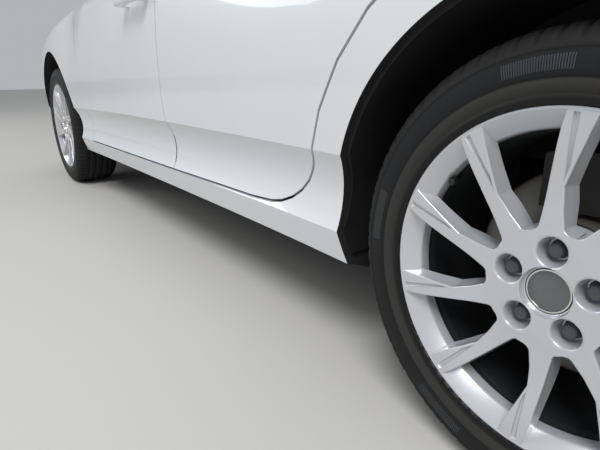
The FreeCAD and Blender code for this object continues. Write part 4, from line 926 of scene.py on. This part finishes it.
# Headlamps
# Two projector lenses and a light guide on a dark stepped reflector, 40 mm behind each clear cover.
LAMP_Y = np.linspace(0.445, 0.800, 48)
LAMP_Z = np.linspace(0.575, 0.668, 20)
HOUSING_SET_BACK, HOUSING_THICK = 0.040, 0.012
STEP_DEEP, STEP_HALF = 0.008, 0.012
LENS_R, LENS_Z = 0.029, 0.622
LENS_ROWS = ((0.0, 0.0), (0.0, 0.012), (0.003, 0.017), (0.009, 0.021), (0.017, 0.023))
LENS_Y, LENS_OUT = (0.545, 0.660), 0.004
LENS_ROW, GUIDE_ROW = 10, 3
GUIDE_Z, GUIDE_OUT, GUIDE_R = 0.588, 0.012, 0.0055
reflector = mottle(new_material("lamp_housing", "#3b3d41", 0.3, 0.6), "#45474b", "#313236", 40.0, (0.25, 0.35))
guide = new_material("light_guide", "#eef2f4", 0.25)
lens_glass = new_material("lamp_lens", "#c9d3da", 0.03, Coat_Weight=1.0)
for side, way in SIDES:
    y, z = np.meshgrid(LAMP_Y, LAMP_Z)
    starts = np.stack([np.full(y.shape, FAR_X), way * y, z], axis=-1)
    cover = dropped(surface("headlamp_" + side), starts, (-1, 0, 0))[..., 0]
    face = np.where(np.isnan(cover), np.fmin.reduce(cover), cover)
    face = np.where(np.isnan(face), np.nanmin(face), face) - HOUSING_SET_BACK
    front = np.stack([face + STEP_DEEP * np.sin(z / STEP_HALF * math.pi), way * y, z], axis=-1)
    back = (front - (HOUSING_THICK, 0, 0))[:, ::-1]
    foot, top = (np.concatenate([back[[i], ::-1], back[[i]]], axis=1) for i in (0, -1))
    slab = np.concatenate([foot, np.concatenate([front, back], axis=1), top])
    lenses = [pillow((face[LENS_ROW, np.argmin(abs(LAMP_Y - b))] + LENS_OUT, way * b, LENS_Z), (0, way, 0),
                     (0, 0, way), LENS_R, LENS_R, LENS_ROWS, 2.0, 64) for b in LENS_Y]
    line = [(face[GUIDE_ROW, j] + GUIDE_OUT, way * LAMP_Y[j], GUIDE_Z) for j in range(2, 44, 2)]
    for kind, shape, finish, sharp in (
            ("housing_", (slab, grid_faces(*slab.shape[:2], True)), reflector, 40),
            ("lenses_", join(*lenses), lens_glass, 60), ("guide_", tube(line, GUIDE_R), guide, 60)):
        fit("headlamp_" + kind + side, shape, finish, "body", sharp)

# Grille frame
# Chromed moulding pressed round the slats' opening.
FRAME_CORNERS = np.array(((0.0, 0.650), (0.404, 0.650), (0.412, 0.642), (0.408, 0.572), (0.400, 0.566),
                          (-0.400, 0.566), (-0.408, 0.572), (-0.412, 0.642), (-0.404, 0.650), (0.0, 0.650)))
FRAME_STEP, FRAME_R = 0.02, 0.0042
NEARBY_Z = (-0.006, 0.0, 0.006)
line = []
for a, b in zip(FRAME_CORNERS, FRAME_CORNERS[1:]):
    t = np.linspace(0, 1, max(2, int(np.hypot(*(b - a)) / FRAME_STEP)), endpoint=False)[:, None]
    line.append(a * (1 - t) + b * t)
line = np.concatenate(line)
starts = np.array([[(FAR_X, y, z + dz) for dz in NEARBY_Z] for y, z in line])
met = dropped(surface("grille", "front_bumper", "bonnet"), starts, (-1, 0, 0))[..., 0]
line = np.column_stack([np.nanmax(met, axis=1) + 0.001, line])
line = np.concatenate([line, line[:1]])
fit("grille_frame", tube(line, FRAME_R, 16), chrome, "body")

# Wipers
# Pressed steel arms in black enamel with rubber blades, parked along the foot of the windscreen.
WIPERS = (("left", (0.880, 0.610), (0.905, 0.070), (0.975, 0.560)),
          ("right", (0.905, 0.020), (0.885, -0.520), (0.975, -0.020)))
BLADE_OFF = np.array((0.005, 0, 0.011))
BLADE_R = 0.0062
ARM_RADII = (0.009, 0.008, 0.005)
windscreen = surface("windscreen")
for name, start, end, pivot in WIPERS:
    t = np.linspace(0, 1, 25)[:, None]
    plan = np.array(start) * (1 - t) + np.array(end) * t
    line = dropped(windscreen, np.column_stack([plan, np.full(len(t), 2.0)]), (0, 0, -1))
    line = line[~np.isnan(line[:, 0])] + BLADE_OFF
    middle = line[len(line) // 2]
    foot = np.array((*pivot, middle[2] + 0.003))
    arm = [foot, foot * 0.6 + middle * 0.4 + (0, 0, 0.012), middle + (0, 0, 0.010)]
    shape = join(tube(line, BLADE_R, 16), tube(arm, ARM_RADII, 16))
    fit("wiper_" + name, shape, plastic, "body")

# Exhaust trims
# Polished stainless rings rolled over the ends of the two tail pipes. Millimetres, as (radius, distance back).
EXHAUST_Y, EXHAUST_Z = 400.0, 282.0
TRIM_RING = ((32.6, 2238), (37.0, 2239), (38.0, 2242), (38.0, 2344), (36.5, 2348), (33.5, 2347), (32.6, 2344),
             (32.6, 2238))
for side, way in SIDES:
    points, faces = lathe(TRIM_RING, 64)
    across, along_car, up = points.reshape(-1, 3).T
    points = np.stack([-along_car, across + EXHAUST_Y * way, up + EXHAUST_Z], axis=-1) * MM
    fit("exhaust_trim_" + side, (points, faces), chrome, "body")

# Dashboard fittings
# Glass-fronted dials and screen, moulded air vents, and a gear lever in its boot, clipped into the dashboard.
SCREEN = ((0.642, 0.0, 0.872), (0, -1, 0), (0.12, 0, 0.993), 0.112, 0.062, ((0.003, -0.014), (0, -0.002), (0.003, 0.0)))
DIAL_AT, DIAL_APART, DIAL_R = (0.6385, 0.37, 0.892), 0.075, 0.040
DIAL_ROWS = ((0, -0.002), (0, 0.001), (0.003, 0.002), (0.006, 0.0))
VENT_Y = (-0.585, -0.185, 0.155, 0.600)
VANE_Z = (-0.016, -0.005, 0.006, 0.017)
VENT_X, VENT_Z, VENT_SLOPE = 0.622, 0.826, 0.30
VANE_HALF = (0.052, 0.0035)
VANE_ROWS = ((0.001, -0.012), (0, 0.004), (0.001, 0.006))
BOOT_AT, BOOT_HALF = (0.40, 0.0, 0.560), (0.050, 0.042)
BOOT_ROWS = ((0, -0.004), (0, 0.004), (0.010, 0.018), (0.012, 0.021), (0.020, 0.036), (0.023, 0.040), (0.033, 0.058))
LEVER_LINE = ((0.40, 0, 0.60), (0.405, 0, 0.63), (0.41, 0, 0.652), (0.412, 0, 0.662), (0.415, 0, 0.680),
              (0.417, 0, 0.692))
LEVER_RADII = (0.006, 0.006, 0.008, 0.019, 0.022, 0.014)
glossy = new_material("display_glass", "#0c0d10", 0.06, Coat_Weight=1.0)
dial_face = mottle(new_material("dial_print", "#17181b", 0.5), "#1c1d20", "#121316", 60.0, (0.45, 0.55))
dials = [pillow((DIAL_AT[0], DIAL_AT[1] + y, DIAL_AT[2]), *REARWARD, DIAL_R, DIAL_R, DIAL_ROWS, 2.0, 64)
         for y in (-DIAL_APART, DIAL_APART)]
vanes = [pillow((VENT_X + z * VENT_SLOPE, y, VENT_Z + z), (0, -1, 0), (0.45, 0, 0.89), *VANE_HALF, VANE_ROWS, 6.0, 48)
         for y in VENT_Y for z in VANE_Z]
lever = join(pillow(BOOT_AT, (1, 0, 0), (0, 1, 0), *BOOT_HALF, BOOT_ROWS, 3.0, 64), tube(LEVER_LINE, LEVER_RADII, 32))
for name, shape, finish in (("centre_screen", pillow(*SCREEN, 8.0), glossy), ("dials", join(*dials), dial_face),
                            ("air_vents", join(*vanes), plastic), ("gear_lever", lever, cabin)):
    fit(name, shape, finish, "body")

# Steering wheel pad
# Soft moulded cover over the hub, swollen in the middle and clipped to the spokes.
COLUMN_LEAN = math.radians(24)
HUB_AT = np.array((0.469, 0.370, 0.905))
HUB_OUT = np.array((-math.cos(COLUMN_LEAN), 0, math.sin(COLUMN_LEAN)))
COVER_ROWS = ((0.004, -0.012), (0, 0.004), (0.004, 0.012), (0.014, 0.018), (0.035, 0.021))
cover = pillow(HUB_AT + HUB_OUT * 0.004, (0, -1, 0), (math.sin(COLUMN_LEAN), 0, math.cos(COLUMN_LEAN)), 0.088, 0.068,
               COVER_ROWS, 3.2, 96)
fit("steering_wheel_pad", cover, cabin, "steering_wheel")

# Engine cover
# Moulded sound cover clipped over the cylinder head, with two grooves along it.
engine_cover = pad((1.345, 0.776), (1.835, 0.776), 0.0, 0.400, 0.036, 0.0, (-0.5, 0.5), (), 0.01, 10.0, MEDIUM)
fit("engine_cover", engine_cover, plastic, "body")


# Floor and light
# A pale floor, a pale sky and a large soft lamp over the car's left side, with a weaker one ahead.
SKY = "#e6ebf0"
SKY_STRENGTH = 0.55
FLOOR_HALF = 30
world = bpy.data.worlds.new("studio")
bpy.context.scene.world = world
world.use_nodes = True
put(world.node_tree.nodes["Background"], Color=linear(SKY), Strength=SKY_STRENGTH)

floor_mesh = bpy.data.meshes.new("floor")
corners = [(x * FLOOR_HALF, y * FLOOR_HALF, 0) for x, y in ((-1, -1), (1, -1), (1, 1), (-1, 1))]
floor_mesh.from_pydata(corners, [], [(0, 1, 2, 3)])
floor = bpy.data.objects.new("floor", floor_mesh)
floor.data.materials.append(new_material("floor", "#c9c7c2", 0.9))
bpy.context.collection.objects.link(floor)


def area_light(name, at, toward, size, power):
    """A round soft lamp at one point, turned towards another."""
    light = bpy.data.lights.new(name, "AREA")
    light.shape = "DISK"
    light.size = size
    light.energy = power
    lamp = bpy.data.objects.new(name, light)
    turn = (Vector(toward) - Vector(at)).to_track_quat("-Z", "Y")
    lamp.matrix_world = Matrix.Translation(at) @ turn.to_matrix().to_4x4()
    bpy.context.collection.objects.link(lamp)


area_light("key", (-4.5, 4.5, 7.0), (-0.8, 0.8, 0.4), 4.0, 520)
area_light("fill", (6.0, 5.0, 4.0), (0.5, 0.5, 0.5), 4.0, 120)

bpy.context.scene.view_settings.view_transform = "Standard"
